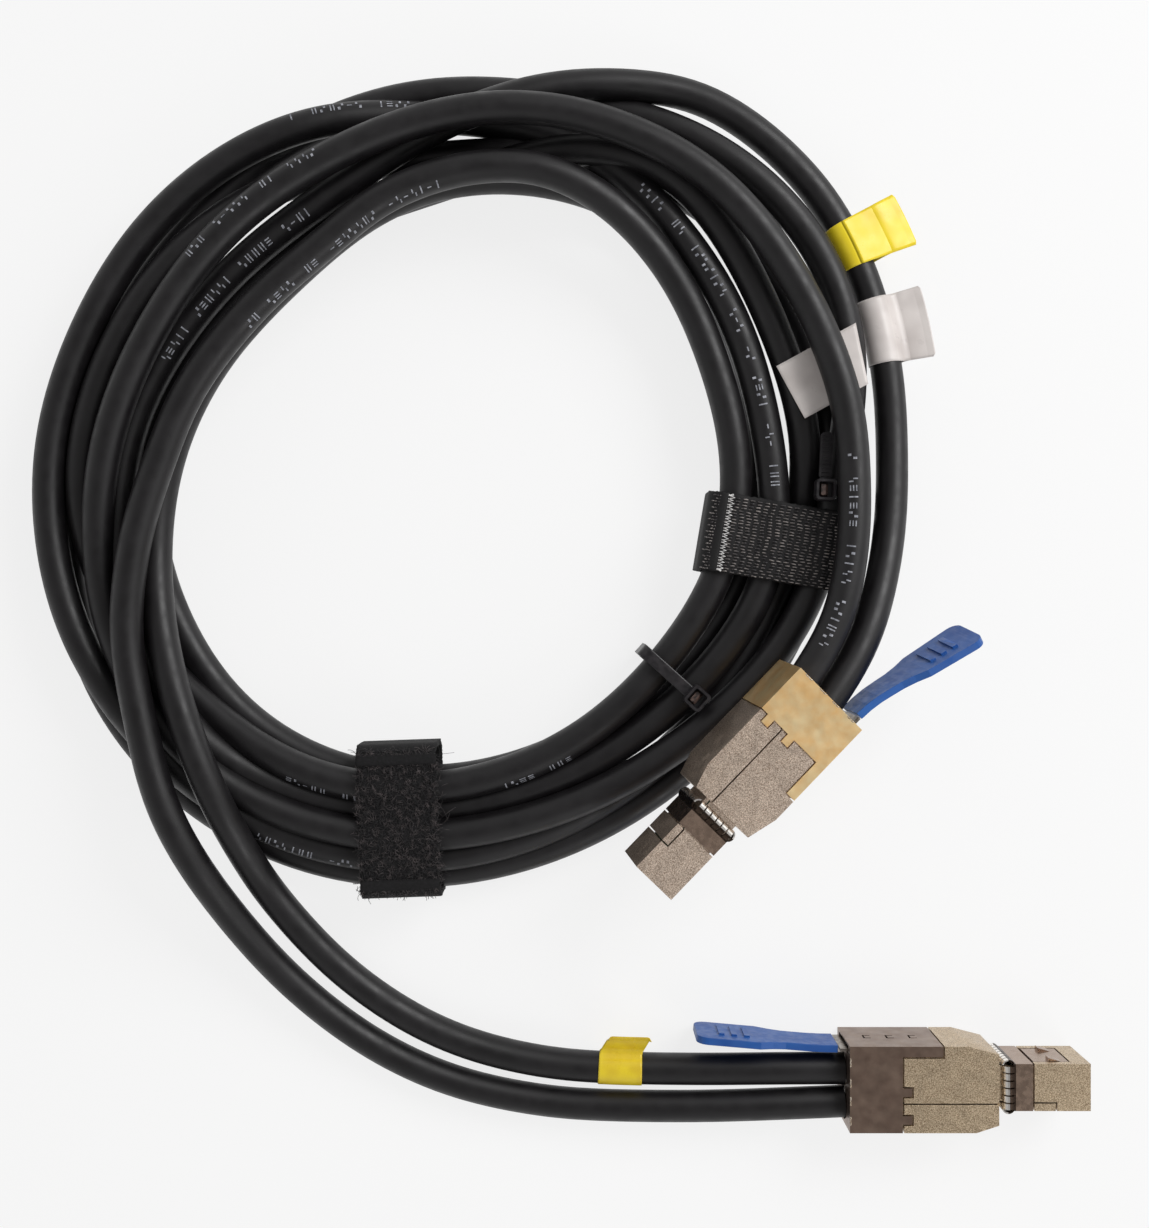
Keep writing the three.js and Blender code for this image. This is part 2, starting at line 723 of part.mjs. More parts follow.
function coilSolid() {
  const sides = 72;
  const section = roundedRectangle(coilWidth, coilHeight, cableRadius, coilRadius, coilBottom + coilHeight / 2);
  const profile = section.getPoints(2);
  const geometry = new THREE.LatheGeometry([...profile, profile[0]], sides);
  geometry.rotateX(Math.PI / 2);
  geometry.scale(coilLongRadius / coilRadius, coilShortRadius / coilRadius, 1);
  geometry.rotateZ(THREE.MathUtils.degToRad(coilAxisAngle));
  geometry.translate(coilX, coilY, 0);
  return toSolid(geometry);
}

// How far the ring's inner and outer walls reach along a direction, within a strip of the given width.
function coilSpan({ direction, offset }, width) {
  const turn = THREE.MathUtils.degToRad(direction);
  const axis = THREE.MathUtils.degToRad(coilAxisAngle);
  const span = { inner: Infinity, outer: -Infinity };
  for (let step = 0; step < 720; step += 1) {
    const angle = (step * Math.PI) / 360;
    [coilRadius - coilWidth / 2, coilRadius + coilWidth / 2].forEach((radius, wall) => {
      const point = new THREE.Vector2(
        ((radius * coilLongRadius) / coilRadius) * Math.cos(angle),
        ((radius * coilShortRadius) / coilRadius) * Math.sin(angle),
      ).rotateAround(new THREE.Vector2(), axis - turn);
      if (point.x < 0 || Math.abs(point.y - offset) > width / 2) return;
      if (wall) span.outer = Math.max(span.outer, point.x);
      else span.inner = Math.min(span.inner, point.x);
    });
  }
  return span;
}

// Turns a solid drawn with X outwards and Z up into its place across the ring.
function acrossCoil(solid, { direction, offset }) {
  return solid.translate([0, offset, 0]).rotate([0, 0, direction]).translate([coilX, coilY, 0]);
}

// A closed band round part of the ring's section.
function bandSolid(xLow, xHigh, zLow, zHigh, thickness, corner, width) {
  const [xMiddle, zMiddle] = [(xLow + xHigh) / 2, (zLow + zHigh) / 2];
  const [wide, high] = [xHigh - xLow, zHigh - zLow];
  const outline = roundedRectangle(
    wide + 2 * thickness, high + 2 * thickness, corner + thickness, xMiddle, zMiddle);
  outline.holes.push(roundedRectangle(wide, high, corner, xMiddle, zMiddle, THREE.Path));
  return prism(outline, -width / 2, width / 2, 4).rotate([90, 0, 0]);
}

const strapPlaces = {
  strap_lower: { direction: -88, offset: -12.3 },
  strap_right: { direction: -9.5, offset: -2.5 },
};

function strap(place) {
  const span = coilSpan(place, strapWidth);
  const band = bandSolid(
    span.inner - gap, span.outer + gap, strapThickness, coilTop + gap, strapThickness, strapCorner, strapWidth);
  return acrossCoil(band, place);
}

// Each tie goes over one wall of the ring and through a slot between two cables.
const tiePlaces = {
  cable_tie_inner: { direction: -42, offset: 0, slot: 67.5, outwards: false, tail: 0 },
  cable_tie_outer: { direction: -2.6, offset: 0, slot: 76, outwards: true, tail: 9.5 },
};

function tieSlot(place) {
  const room = tieThickness + 2 * gap;
  const slot = block(
    [place.slot - room / 2, -tieWidth / 2 - gap, 0],
    [place.slot + room / 2, tieWidth / 2 + gap, coilTop + gap],
  );
  return acrossCoil(slot, place);
}

function cableTie(place) {
  const span = coilSpan(place, tieWidth);
  const side = place.outwards ? 1 : -1;
  const slotWall = place.slot + (side * tieThickness) / 2;
  const farWall = place.outwards ? span.outer + gap : span.inner - gap;
  const [xLow, xHigh] = [Math.min(slotWall, farWall), Math.max(slotWall, farWall)];
  const bandBottom = coilBottom - gap;
  const band = bandSolid(xLow, xHigh, bandBottom, coilTop + gap, tieThickness, tieCorner, tieWidth);
  const headBase = coilTop + gap;
  const pieces = [band, block(
    [place.slot - tieHeadWidth / 2, -tieHeadLength / 2, headBase],
    [place.slot + tieHeadWidth / 2, tieHeadLength / 2, headBase + tieHeadHeight],
  )];
  if (place.tail) {
    pieces.push(block(
      [place.slot - tieWidth / 2, 0, headBase],
      [place.slot + tieWidth / 2, tieHeadLength / 2 + place.tail, headBase + tieThickness],
    ));
  }
  return acrossCoil(join(pieces), place);
}

// A label folded round a cable with both ends stuck together as a flag.
const flagPlaces = {
  flag_yellow_lead: {
    curve: leadBCurve, along: 0.68, side: 1, width: 9.6, reach: 12.8, lift: 4, finish: yellowLabel,
  },
  flag_white_lead: {
    curve: leadBCurve, along: 0.555, side: 1, width: 13.6, reach: 10.2, lift: 8, finish: whiteLabel,
  },
  flag_yellow_tail: {
    curve: tailBCurve, along: 0.65, side: -1, width: 9, reach: 8.5, lift: 30, finish: yellowLabel,
  },
};

function flag({ curve, along, side, width, reach, lift }) {
  const inner = cableRadius + gap + labelLooseness;
  const outer = inner + labelSheet;
  const mouth = Math.asin(labelSheet / outer);
  const outline = new THREE.Shape();
  outline.absarc(0, 0, outer, mouth, 2 * Math.PI - mouth, false);
  outline.lineTo(reach, -labelSheet);
  outline.lineTo(reach, labelSheet);
  const hole = new THREE.Path();
  hole.absarc(0, 0, inner, 0, 2 * Math.PI, true);
  outline.holes.push(hole);
  const ahead = curve.getTangentAt(along);
  const level = new THREE.Vector3(ahead.y, -ahead.x, 0).normalize().multiplyScalar(side);
  const up = new THREE.Vector3(0, 0, 1).projectOnPlane(ahead).normalize();
  const angle = THREE.MathUtils.degToRad(lift);
  const outwards = level.multiplyScalar(Math.cos(angle)).addScaledVector(up, Math.sin(angle));
  const basis = new THREE.Matrix4().makeBasis(
    outwards, new THREE.Vector3().crossVectors(ahead, outwards), ahead);
  basis.setPosition(curve.getPointAt(along));
  return prism(outline, -width / 2, width / 2, 12).transform(basis.elements);
}

// The bare label that lies on the coil under the upper lead.
const looseLabel = { x: 50.2, y: 48.3, heading: 28.6, length: 19.5, width: 12 };

function labelPlate() {
  const { x, y, heading, length, width } = looseLabel;
  const plate = block([-length / 2, -width / 2, coilTop + gap], [length / 2, width / 2, coilTop + gap + labelSheet]);
  return plate.rotate([0, 0, heading]).translate([x, y, 0]);
}

// Assembly

const cords = new THREE.Group();
cords.add(mesh('cable_coil', cut(coilSolid(), Object.values(tiePlaces).map(tieSlot)), jacket));
cords.add(mesh('lead_a', cableTube(leadACurve), jacket));
cords.add(mesh('lead_b', cableTube(leadBCurve), jacket));
cords.add(mesh('tail_a', cableTube(tailACurve), jacket));
cords.add(mesh('tail_b', cableTube(tailBCurve), jacket));

const fittings = new THREE.Group();
fittings.add(plug('upper_plug', upperPlug));
fittings.add(plug('lower_plug', lowerPlug));
for (const [name, place] of Object.entries(strapPlaces)) fittings.add(mesh(name, strap(place), webbing));
for (const [name, place] of Object.entries(tiePlaces)) fittings.add(mesh(name, cableTie(place), nylon));
for (const [name, place] of Object.entries(flagPlaces)) fittings.add(mesh(name, flag(place), place.finish));
fittings.add(mesh('label_code', labelPlate(), whiteLabel));

// The origin is at the foot of the box round everything but the cables.
fittings.updateMatrixWorld(true);
const box = new THREE.Box3().setFromObject(fittings, true);
const centre = box.getCenter(new THREE.Vector3());
const cable = new THREE.Group();
cable.add(cords, fittings);
cable.position.set(-centre.x, -centre.y, -box.min.z);

export default cable;
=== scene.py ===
import bpy, math, random
from mathutils import Matrix, Vector


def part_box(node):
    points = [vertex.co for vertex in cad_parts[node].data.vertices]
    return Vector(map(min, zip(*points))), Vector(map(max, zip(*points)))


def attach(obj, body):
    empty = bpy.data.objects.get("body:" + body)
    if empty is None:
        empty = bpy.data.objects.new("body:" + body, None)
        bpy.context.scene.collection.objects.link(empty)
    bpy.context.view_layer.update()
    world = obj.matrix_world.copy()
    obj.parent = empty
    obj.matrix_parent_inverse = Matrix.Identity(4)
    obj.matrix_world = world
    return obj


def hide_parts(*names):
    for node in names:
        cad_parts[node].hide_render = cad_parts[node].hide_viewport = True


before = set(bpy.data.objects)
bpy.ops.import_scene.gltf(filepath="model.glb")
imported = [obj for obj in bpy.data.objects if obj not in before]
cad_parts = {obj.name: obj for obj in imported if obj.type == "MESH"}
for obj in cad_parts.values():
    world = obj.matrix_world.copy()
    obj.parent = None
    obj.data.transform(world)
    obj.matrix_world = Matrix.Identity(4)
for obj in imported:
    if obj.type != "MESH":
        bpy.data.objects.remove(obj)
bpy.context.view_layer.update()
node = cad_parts
MM = 0.001


# Camera: straight above the coil, as in the photograph. Places on the coil are given in millimetres
# from the point of the floor under it, and the shift takes them to the part's own origin.
FRAME_SHIFT = Vector((-30.302, 9.532, 0))
CAMERA_HEIGHT = 310

camera_data = bpy.data.cameras.new("overhead_camera")
camera_data.sensor_width = 36
camera_data.lens = 42.89
camera_data.clip_start = 0.01
camera = bpy.data.objects.new("overhead_camera", camera_data)
camera.location = (FRAME_SHIFT + Vector((0, 0, CAMERA_HEIGHT))) * MM
bpy.context.scene.collection.objects.link(camera)
bpy.context.scene.camera = camera


# Cables: two round extruded jackets, 6.5 mm across, side by side from plug to plug. Each makes
# 3.76 turns, so they lie six to eight strands to the coil, and the last turn leaves over the first.
CABLE_DIAMETER = 6.5
COIL_LONG, COIL_SHORT, COIL_AXIS = 76, 66.5, 42
COIL_CENTRE = Vector((-25.7, 28.3, 0))


def coil_point(degrees, outwards, height):
    """A point of a turn, from its angle round the oval, its place across the coil and its height."""
    turned = math.radians(degrees - COIL_AXIS)
    radius = COIL_LONG * COIL_SHORT / math.hypot(
        COIL_SHORT * math.cos(turned), COIL_LONG * math.sin(turned))
    angle = math.radians(degrees)
    reach = radius + outwards
    return Vector((reach * math.cos(angle), reach * math.sin(angle), height)) + COIL_CENTRE


def steady_slopes(stops, values):
    """Slopes for a curve through the values that never overshoots them."""
    rises = [(values[i + 1] - values[i]) / (stops[i + 1] - stops[i]) for i in range(len(stops) - 1)]
    slopes = [rises[0]]
    for before, after in zip(rises, rises[1:]):
        slopes.append(0 if before * after <= 0 else 2 * before * after / (before + after))
    return slopes + [rises[-1]]


TURN_STEP = 6


def along_turns(track):
    """Points every few degrees through a track of (angle, place across, height)."""
    stops = [stop[0] for stop in track]
    columns = [[stop[column] for stop in track] for column in (1, 2)]
    slopes = [steady_slopes(stops, column) for column in columns]
    points, angle = [], stops[0]
    while angle < stops[-1]:
        span = max(i for i in range(len(stops) - 1) if stops[i] <= angle)
        width = stops[span + 1] - stops[span]
        t = (angle - stops[span]) / width
        place = []
        for column, slope in zip(columns, slopes):
            place.append(
                (2 * t**3 - 3 * t**2 + 1) * column[span] + (t**3 - 2 * t**2 + t) * width * slope[span]
                + (3 * t**2 - 2 * t**3) * column[span + 1] + (t**3 - t**2) * width * slope[span + 1])
        points.append(coil_point(angle, *place))
        angle += TURN_STEP
    return points


def rounded(points, passes=2):
    """Evens out the joins between the free stretches and the turns."""
    points = [point.copy() for point in points]
    for _ in range(passes):
        points = [points[0]] + [
            points[i] * 0.5 + (points[i - 1] + points[i + 1]) * 0.25 for i in range(1, len(points) - 1)
        ] + [points[-1]]
    return points


def smooth_line(points, spacing=2.2):
    """Close points on a Catmull-Rom curve through the given ones."""
    line = []
    for i in range(len(points) - 1):
        a = points[max(i - 1, 0)]
        b, c = points[i], points[i + 1]
        d = points[min(i + 2, len(points) - 1)]
        steps = max(2, round((c - b).length / spacing))
        for k in range(steps):
            t = k / steps
            line.append(0.5 * ((2 * b) + (c - a) * t + (2 * a - 5 * b + 4 * c - d) * t**2
                               + (3 * b - a - 3 * c + d) * t**3))
    return line + [points[-1]]


JOIN_PASSES = 14

# The free stretches are given by points, and the turns by angle, place across the coil and height.
LEAD_A = [
    (51.6, -2.8, 22.3), (53.9, 6.3, 21.6), (55.4, 15.4, 21), (55.5, 22.5, 20.6), (55.4, 30.4, 20),
    (55, 38, 19.6), (53.2, 45.5, 19.5), (50.6, 53, 19.4), (47.5, 60.3, 19), (43.5, 67.5, 18.8),
    (37.9, 76, 18.8), (30.8, 84.1, 18.8), (24.6, 89.1, 18.8),
]
LEAD_B = [
    (56.9, -7.2, 19.6), (60.8, 2.8, 16.4), (63.5, 13, 13.2), (65, 23.4, 10.6), (65.3, 33.7, 9),
    (65.2, 44.2, 8.2), (64.1, 53.5, 8), (62, 62.8, 8), (58.9, 71.8, 8), (55.8, 78.2, 8), (51.3, 85.9, 8),
    (45.5, 92.5, 8), (37.9, 99.5, 8), (28.8, 105.5, 8), (23.8, 107.6, 8),
]
TAIL_A = [
    (-23.2, 88.7, 18.8), (-38.9, 82.8, 18.8), (-48.7, 74.5, 18.8), (-58, 67, 18.8), (-66, 59.1, 18.8),
    (-76.6, 45.3, 18.8), (-82.1, 32.1, 18.8), (-87.3, 16.1, 18.8), (-89.3, 1.4, 18.8), (-89.2, -8, 18.8),
    (-86.7, -19.7, 18.8), (-84.7, -29.8, 18.8), (-81.4, -40.4, 18.7), (-75.9, -51.4, 16),
    (-72.2, -58.3, 12.6), (-64.9, -69.4, 8), (-57.1, -78.2, 5.6), (-47, -86.8, 4), (-36.6, -93.2, 3.5),
    (-26.1, -97.7, 3.5), (-15.6, -100.4, 3.5), (-5.1, -102.1, 3.6), (5.3, -102.7, 4), (26.1, -102.4, 5.6),
    (44, -101.4, 6.8),
]
TAIL_B = [
    (-64.4, -55.6, 8), (-61.5, -59.2, 8), (-56.9, -65, 7.2), (-52.7, -69.8, 6.2), (-46.8, -75.6, 5.2),
    (-36.5, -83.2, 4.3), (-26.1, -88.5, 4.2), (-15.6, -91.8, 4.2), (-5.1, -93.8, 4.3), (5.3, -94.6, 4.6),
    (26.1, -94.7, 5.5), (44, -94.1, 6.8),
]
TURNS_A = [
    (56, 2.9, 18.8), (66, 3.1, 18.8), (82, 2.3, 18.8), (95, 1.1, 18.8), (110, -0.5, 18.8), (128, -0.7, 18.8),
    (146, -1.9, 18.8), (161, -2.6, 18.8), (172, -2.2, 18.6), (180, -1.8, 17.4), (190, -0.9, 14.6),
    (200, 0.5, 12.8), (225, 2.4, 12.0), (270, 3.4, 11.75), (310, 6.2, 11.75), (342, 10.0, 11.75),
    (359, 8.0, 11.75), (368, 10, 11.75), (377, 13.1, 11.75), (389, 13.7, 11.75), (395, 13.4, 11.75),
    (406, 11.7, 11.4), (414, 11.0, 10.6), (422, 9.8, 8), (430, 9.3, 5.4), (439, 9.5, 5.05), (449, 10.5, 5.05),
    (460, 11.3, 5.05), (470, 11.2, 5.05), (500, 9, 5.05), (540, 8.4, 5.05), (570, 10, 5.05),
    (590, 10.6, 5.05),
    (630, 12, 5.05), (665, 11.6, 5.05), (700, 10, 5.05), (725, 7.5, 5.05), (750, 5, 5.05), (780, 0, 5.05),
    (810, -3.3, 5.05), (830, 1, 6.5), (850, 4.5, 10), (870, 5.5, 11.75), (900, 4.3, 11.75), (915, 2.2, 8.6),
    (926, -1.6, 6.3), (936, -5, 6.3), (946, -6.8, 8.6), (958, -6.7, 11.2), (972, -6.4, 11.75),
    (990, -6.4, 11.75), (1012, -6.6, 11.75), (1040, -8.4, 11.75), (1058, -9.0, 11.75), (1077, -11.5, 11.75),
    (1090, -14, 11.75), (1105, -16, 11.75), (1117, -14.8, 12.2), (1129, -13.1, 14.2), (1139, -11, 16.8),
    (1149, -9.3, 18.7), (1160, -9.4, 18.8),
]
TURNS_B = [
    (62, 16.1, 9), (68, 13.4, 10.6), (75, 10.2, 11.9), (82, 6, 12.05), (92, 1.5, 12.05), (102, -2.4, 12.05),
    (113, -5.4, 12), (125, -6, 12), (146, -5.6, 12), (159, -5, 12), (168, -4, 12), (180, -4, 12),
    (192, -4.2, 12), (205, -3.6, 12), (214, -2.4, 11.9), (225, -1.3, 11.2), (235, -1.2, 9.6),
    (248, -1.5, 8.8),
    (270, -1.6, 8.6), (310, -0.6, 10.4), (342, 0.6, 11.75), (357, -4, 11.75), (370, -7.2, 11.75),
    (381, -8.5, 11.75), (397, -8.4, 11.75), (407, -7.1, 11.75), (417, -4, 11.2), (424, -1.8, 9.2),
    (431, 0.5, 7), (438, 2.6, 5.6), (446, 4.2, 5.05), (454, 5.4, 5.4), (460, 7.2, 7.6), (466, 9.3, 10.4),
    (474, 10.8, 11.75), (490, 12.8, 11.75), (502, 13.1, 11.75), (515, 12, 11.75), (535, 11.4, 11.75),
    (550, 9.6, 11.75), (565, 8.3, 11.75), (574, 6.8, 11.6), (590, 6.4, 10.6), (608, 7.7, 9), (630, 8.3, 8.2),
    (665, 7, 6.6), (700, 3.5, 5.05), (715, 3.1, 8), (732, 0.6, 11.6), (745, -2.1, 11.75), (755, -1.5, 11.75),
    (764, 0, 11.75), (774, 2.4, 12), (781, 1.5, 12.1), (788, -1, 12.1), (796, -4.5, 10), (804, -7.4, 7),
    (812, -9.5, 5.05), (850, -8.4, 5.05), (900, -8, 5.05), (930, -10.5, 5.05), (950, -9.6, 5.05),
    (990, -7, 5.05), (1030, -5.4, 5.05), (1060, -4.2, 5.05), (1090, -7.4, 5.05), (1115, -7.8, 5.05),
    (1140, -8, 7), (1158, -9.4, 10.4), (1172, -10, 11.9), (1184, -11.3, 12), (1210, -15, 12),
    (1235, -14.4, 12),
    (1250, -13.6, 12), (1265, -12.7, 12), (1277, -11.6, 12.5), (1284, -10, 13.7), (1292, -8.6, 16.5),
    (1301, -5.2, 18.6), (1308, -0.4, 18.6), (1315, 5.2, 17.2), (1321, 11.4, 13.4),
]


def linear(colour):
    """An sRGB colour, 0 to 255, as the linear colour that a shader takes."""
    parts = [part / 255 for part in colour]
    return (*[part / 12.92 if part <= 0.04045 else ((part + 0.055) / 1.055) ** 2.4 for part in parts], 1)


def surface(name, colour, roughness, metallic=0.0):
    """A principled material in an sRGB colour, to which the functions below add its grain and tones."""
    made = bpy.data.materials.new(name)
    made.use_nodes = True
    shader = made.node_tree.nodes["Principled BSDF"]
    shader.inputs["Base Color"].default_value = linear(colour)
    shader.inputs["Roughness"].default_value = roughness
    shader.inputs["Metallic"].default_value = metallic
    return made


# The noise is turned, because a flat face that lies in its lattice would show none.
NOISE_TURN = (0.5, 0.7, 0.3)


def noise_of(tree, size, detail, stretch=(1, 1, 1)):
    """The output of noise of a given size, in millimetres."""
    place = tree.nodes.new("ShaderNodeTexCoord")
    mapping = tree.nodes.new("ShaderNodeMapping")
    noise = tree.nodes.new("ShaderNodeTexNoise")
    mapping.inputs["Scale"].default_value = stretch
    mapping.inputs["Rotation"].default_value = NOISE_TURN
    noise.inputs["Scale"].default_value = 1 / (size * MM)
    noise.inputs["Detail"].default_value = detail
    tree.links.new(place.outputs["Object"], mapping.inputs["Vector"])
    tree.links.new(mapping.outputs["Vector"], noise.inputs["Vector"])
    return noise.outputs["Fac"]


def grain(made, size, depth, stretch=(1, 1, 1), detail=3.0):
    """Bump from noise of a given size and depth, in millimetres. A second grain lies over the first."""
    tree = made.node_tree
    bump = tree.nodes.new("ShaderNodeBump")
    bump.inputs["Strength"].default_value = 1
    bump.inputs["Distance"].default_value = depth * MM
    tree.links.new(noise_of(tree, size, detail, stretch), bump.inputs["Height"])
    normal = tree.nodes["Principled BSDF"].inputs["Normal"]
    if normal.is_linked:
        tree.links.new(normal.links[0].from_socket, bump.inputs["Normal"])
    tree.links.new(bump.outputs["Normal"], normal)


def tones(made, size, dark, light, spread=(0.35, 0.65), detail=4.0):
    """Uneven colour: noise of a given size that blends from a dark tone to a light one."""
    tree = made.node_tree
    ramp = tree.nodes.new("ShaderNodeValToRGB")
    for element, position, colour in zip(ramp.color_ramp.elements, spread, (dark, light)):
        element.position = position
        element.color = linear(colour)
    tree.links.new(noise_of(tree, size, detail), ramp.inputs["Fac"])
    tree.links.new(ramp.outputs["Color"], tree.nodes["Principled BSDF"].inputs["Base Color"])


def wear(made, size, smooth, rough):
    """Roughness that changes over the surface between two values."""
    tree = made.node_tree
    spread = tree.nodes.new("ShaderNodeMapRange")
    for limit, value in (("From Min", 0.35), ("From Max", 0.65), ("To Min", smooth), ("To Max", rough)):
        spread.inputs[limit].default_value = value
    tree.links.new(noise_of(tree, size, detail=5), spread.inputs["Value"])
    tree.links.new(spread.outputs["Result"], tree.nodes["Principled BSDF"].inputs["Roughness"])


jacket = surface("jacket", (20, 18, 20), 0.5)
tones(jacket, 9, (15, 13, 15), (22, 20, 22))
wear(jacket, 3, 0.4, 0.52)
grain(jacket, 0.35, 0.006)

JACKET_FACETS = 7
UPPER_EXITS = [Vector((45.08, -12.583, 23.131)), Vector((49.85, -17.306, 22.045))]
LOWER_EXITS = [Vector((55.7, -100.8, 7.1)), Vector((55.7, -94.0, 7.1))]


def cable(name, exits, lead, turns, tail, replaced):
    """One whole cable from plug to plug. Gives back its centreline, in metres."""
    upper_exit, lower_exit = exits
    coiled = rounded(along_turns(turns))
    points = [upper_exit] + [Vector(point) for point in lead] + coiled
    points += [Vector(point) for point in tail] + [lower_exit]
    line = [(point + FRAME_SHIFT) * MM for point in rounded(smooth_line(points), JOIN_PASSES)]
    curve = bpy.data.curves.new(name + "_line", "CURVE")
    curve.dimensions = "3D"
    curve.bevel_depth = CABLE_DIAMETER / 2 * MM
    curve.bevel_resolution = JACKET_FACETS
    curve.use_fill_caps = True
    spline = curve.splines.new("POLY")
    spline.points.add(len(line) - 1)
    for target, point in zip(spline.points, line):
        target.co = (*point, 1)
    guide = bpy.data.objects.new(name + "_line", curve)
    bpy.context.scene.collection.objects.link(guide)
    shown = bpy.context.evaluated_depsgraph_get()
    tube = bpy.data.meshes.new_from_object(guide.evaluated_get(shown))
    bpy.data.objects.remove(guide)
    for face in tube.polygons:
        face.use_smooth = True
    tube.materials.append(jacket)
    piece = bpy.data.objects.new(name, tube)
    bpy.context.scene.collection.objects.link(piece)
    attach(piece, "cable")
    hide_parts(*replaced)
    return line


line_a = cable("cable_a", (UPPER_EXITS[0], LOWER_EXITS[0]), LEAD_A, TURNS_A, TAIL_A,
               ("cable_coil", "lead_a", "tail_a"))
line_b = cable("cable_b", (UPPER_EXITS[1], LOWER_EXITS[1]), LEAD_B, TURNS_B, TAIL_B,
               ("lead_b", "tail_b"))


# Print on the jackets: pale ink in rows along the cable, rolled on as the jacket leaves the extruder.
# The marks are plain bars and dashes that read as nothing.
INK_LIFT = 0.025
MARK_HEIGHT, MARK_WIDTH, MARK_PITCH = 1.8, 1.15, 1.75
WORD_GAP = 1.6 * MARK_PITCH
LOW_BAR, LOW_BAR_ROWS, TALL_BAR_ROWS = 0.3, 2, 5
# The bars of each mark, as shares of its width and height: left, right, low and high.
MARKS = [
    [(0.05, 0.27, 0, 1), (0.62, 0.84, 0, 1)],
    [(0, 1, 0.1, 0.24), (0, 1, 0.43, 0.57), (0, 1, 0.76, 0.9)],
    [(0.38, 0.62, 0, 1)],
    [(0, 0.4, 0, 0.4), (0.6, 1, 0.6, 1)],
    [(0, 0.4, 0.6, 1), (0.6, 1, 0, 0.4)],
    [(0.1, 0.9, 0.43, 0.57)],
    [(0, 0.24, 0, 0.5), (0.5, 0.74, 0.5, 1)],
]

ink = surface("jacket_ink", (150, 152, 160), 0.6)
tones(ink, 0.6, (112, 114, 122), (176, 178, 186))
grain(ink, 0.2, 0.004)


def new_piece(name, points, faces, made, replaced=(), smooth=True):
    """A mesh in metres that rides on the cable and takes one material."""
    mesh = bpy.data.meshes.new(name)
    mesh.from_pydata([tuple(point) for point in points], [], faces)
    mesh.materials.append(made)
    for face in mesh.polygons:
        face.use_smooth = smooth
    piece = bpy.data.objects.new(name, mesh)
    bpy.context.scene.collection.objects.link(piece)
    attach(piece, "cable")
    if replaced:
        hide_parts(*replaced)
    return piece


def sheet_faces(rows, columns, first=0, closed=False):
    """Faces of a sheet of points that are listed row by row. A closed sheet's last row meets its first."""
    faces = []
    for row in range(rows if closed else rows - 1):
        for column in range(columns - 1):
            near = first + row * columns + column
            far = first + (row + 1) % rows * columns + column
            faces.append((near, near + 1, far + 1, far))
    return faces


def nearest_index(line, point):
    """The number of the point on a cable's line that lies nearest to a place."""
    return min(range(len(line)), key=lambda i: (line[i] - point).length_squared)


def length_to(line, index):
    """The length along a cable to one of its line's points."""
    return sum((line[i + 1] - line[i]).length for i in range(index))


def cable_frame(line, reach):
    """Place, direction, upward and sideways of the cable at a length along it, in metres."""
    i = 0
    while i < len(line) - 2 and reach > (line[i + 1] - line[i]).length:
        reach -= (line[i + 1] - line[i]).length
        i += 1
    ahead = (line[i + 1] - line[max(i - 1, 0)]).normalized()
    place = line[i].lerp(line[i + 1], min(1, reach / max((line[i + 1] - line[i]).length, 1e-9)))
    up = (Vector((0, 0, 1)) - ahead * ahead.z).normalized()
    return place, ahead, up, ahead.cross(up)


def turn_length(line, angle, outwards, height):
    """The length along a cable of the point nearest to a place on the coil."""
    return length_to(line, nearest_index(line, (coil_point(angle, outwards, height) + FRAME_SHIFT) * MM))


def print_row(name, line, first, last, tilt, seed):
    """A row of marks between two lengths along a cable, turned round it by the tilt."""
    chance = random.Random(seed)
    points, faces = [], []
    along, word_left = first, chance.randint(3, 7)
    radius = CABLE_DIAMETER / 2 + INK_LIFT
    while along < last:
        if word_left == 0:
            along += WORD_GAP * MM
            word_left = chance.randint(2, 7)
            continue
        word_left -= 1
        for left, right, low, high in chance.choice(MARKS):
            rows = LOW_BAR_ROWS if high - low < LOW_BAR else TALL_BAR_ROWS
            faces += sheet_faces(rows, 2, first=len(points))
            for row in range(rows):
                rise = (low + (high - low) * row / (rows - 1) - 0.5) * MARK_HEIGHT
                angle = math.radians(tilt) + rise / radius
                for share in (left, right):
                    place, ahead, up, aside = cable_frame(line, along + share * MARK_WIDTH * MM)
                    points.append(place + (up * math.cos(angle) + aside * math.sin(angle)) * radius * MM)
        along += MARK_PITCH * MM
    new_piece(name, points, faces, ink)


# Each row's name, cable, first and last place on the coil (angle, across, height), and tilt.
PRINT_ROWS = [
    ("print_lead_a_low", line_a, (-25, 16, 21.5), (2, 10, 20), -14),
    ("print_lead_a_top", line_a, (112, -0.5, 18.8), (139, -1.3, 18.8), 26),
    ("print_turn_b_right", line_b, (358, -4, 11.75), (416, -4, 11.5), 0),
    ("print_turn_b_top", line_b, (456, 6, 6), (474, 10.8, 11.75), 30),
    ("print_turn_b_left", line_b, (118, -5.6, 12), (158, -5, 12), -22),
    ("print_tail_a_top", line_a, (1172, -10, 18.8), (1222, -16, 18.8), -48),
    ("print_turn_b_bottom", line_b, (602, 7.4, 9.6), (620, 8, 8.6), 38),
    ("print_turn_a_bottom", line_a, (962, -6.6, 11.6), (984, -6.4, 11.75), 52),
    ("print_turn_a_after_strap", line_a, (1000, -6.4, 11.75), (1014, -6.8, 11.75), 52),
]
for seed, (name, line, start, end, tilt) in enumerate(PRINT_ROWS):
    print_row(name, line, turn_length(line, *start), turn_length(line, *end), tilt, seed)


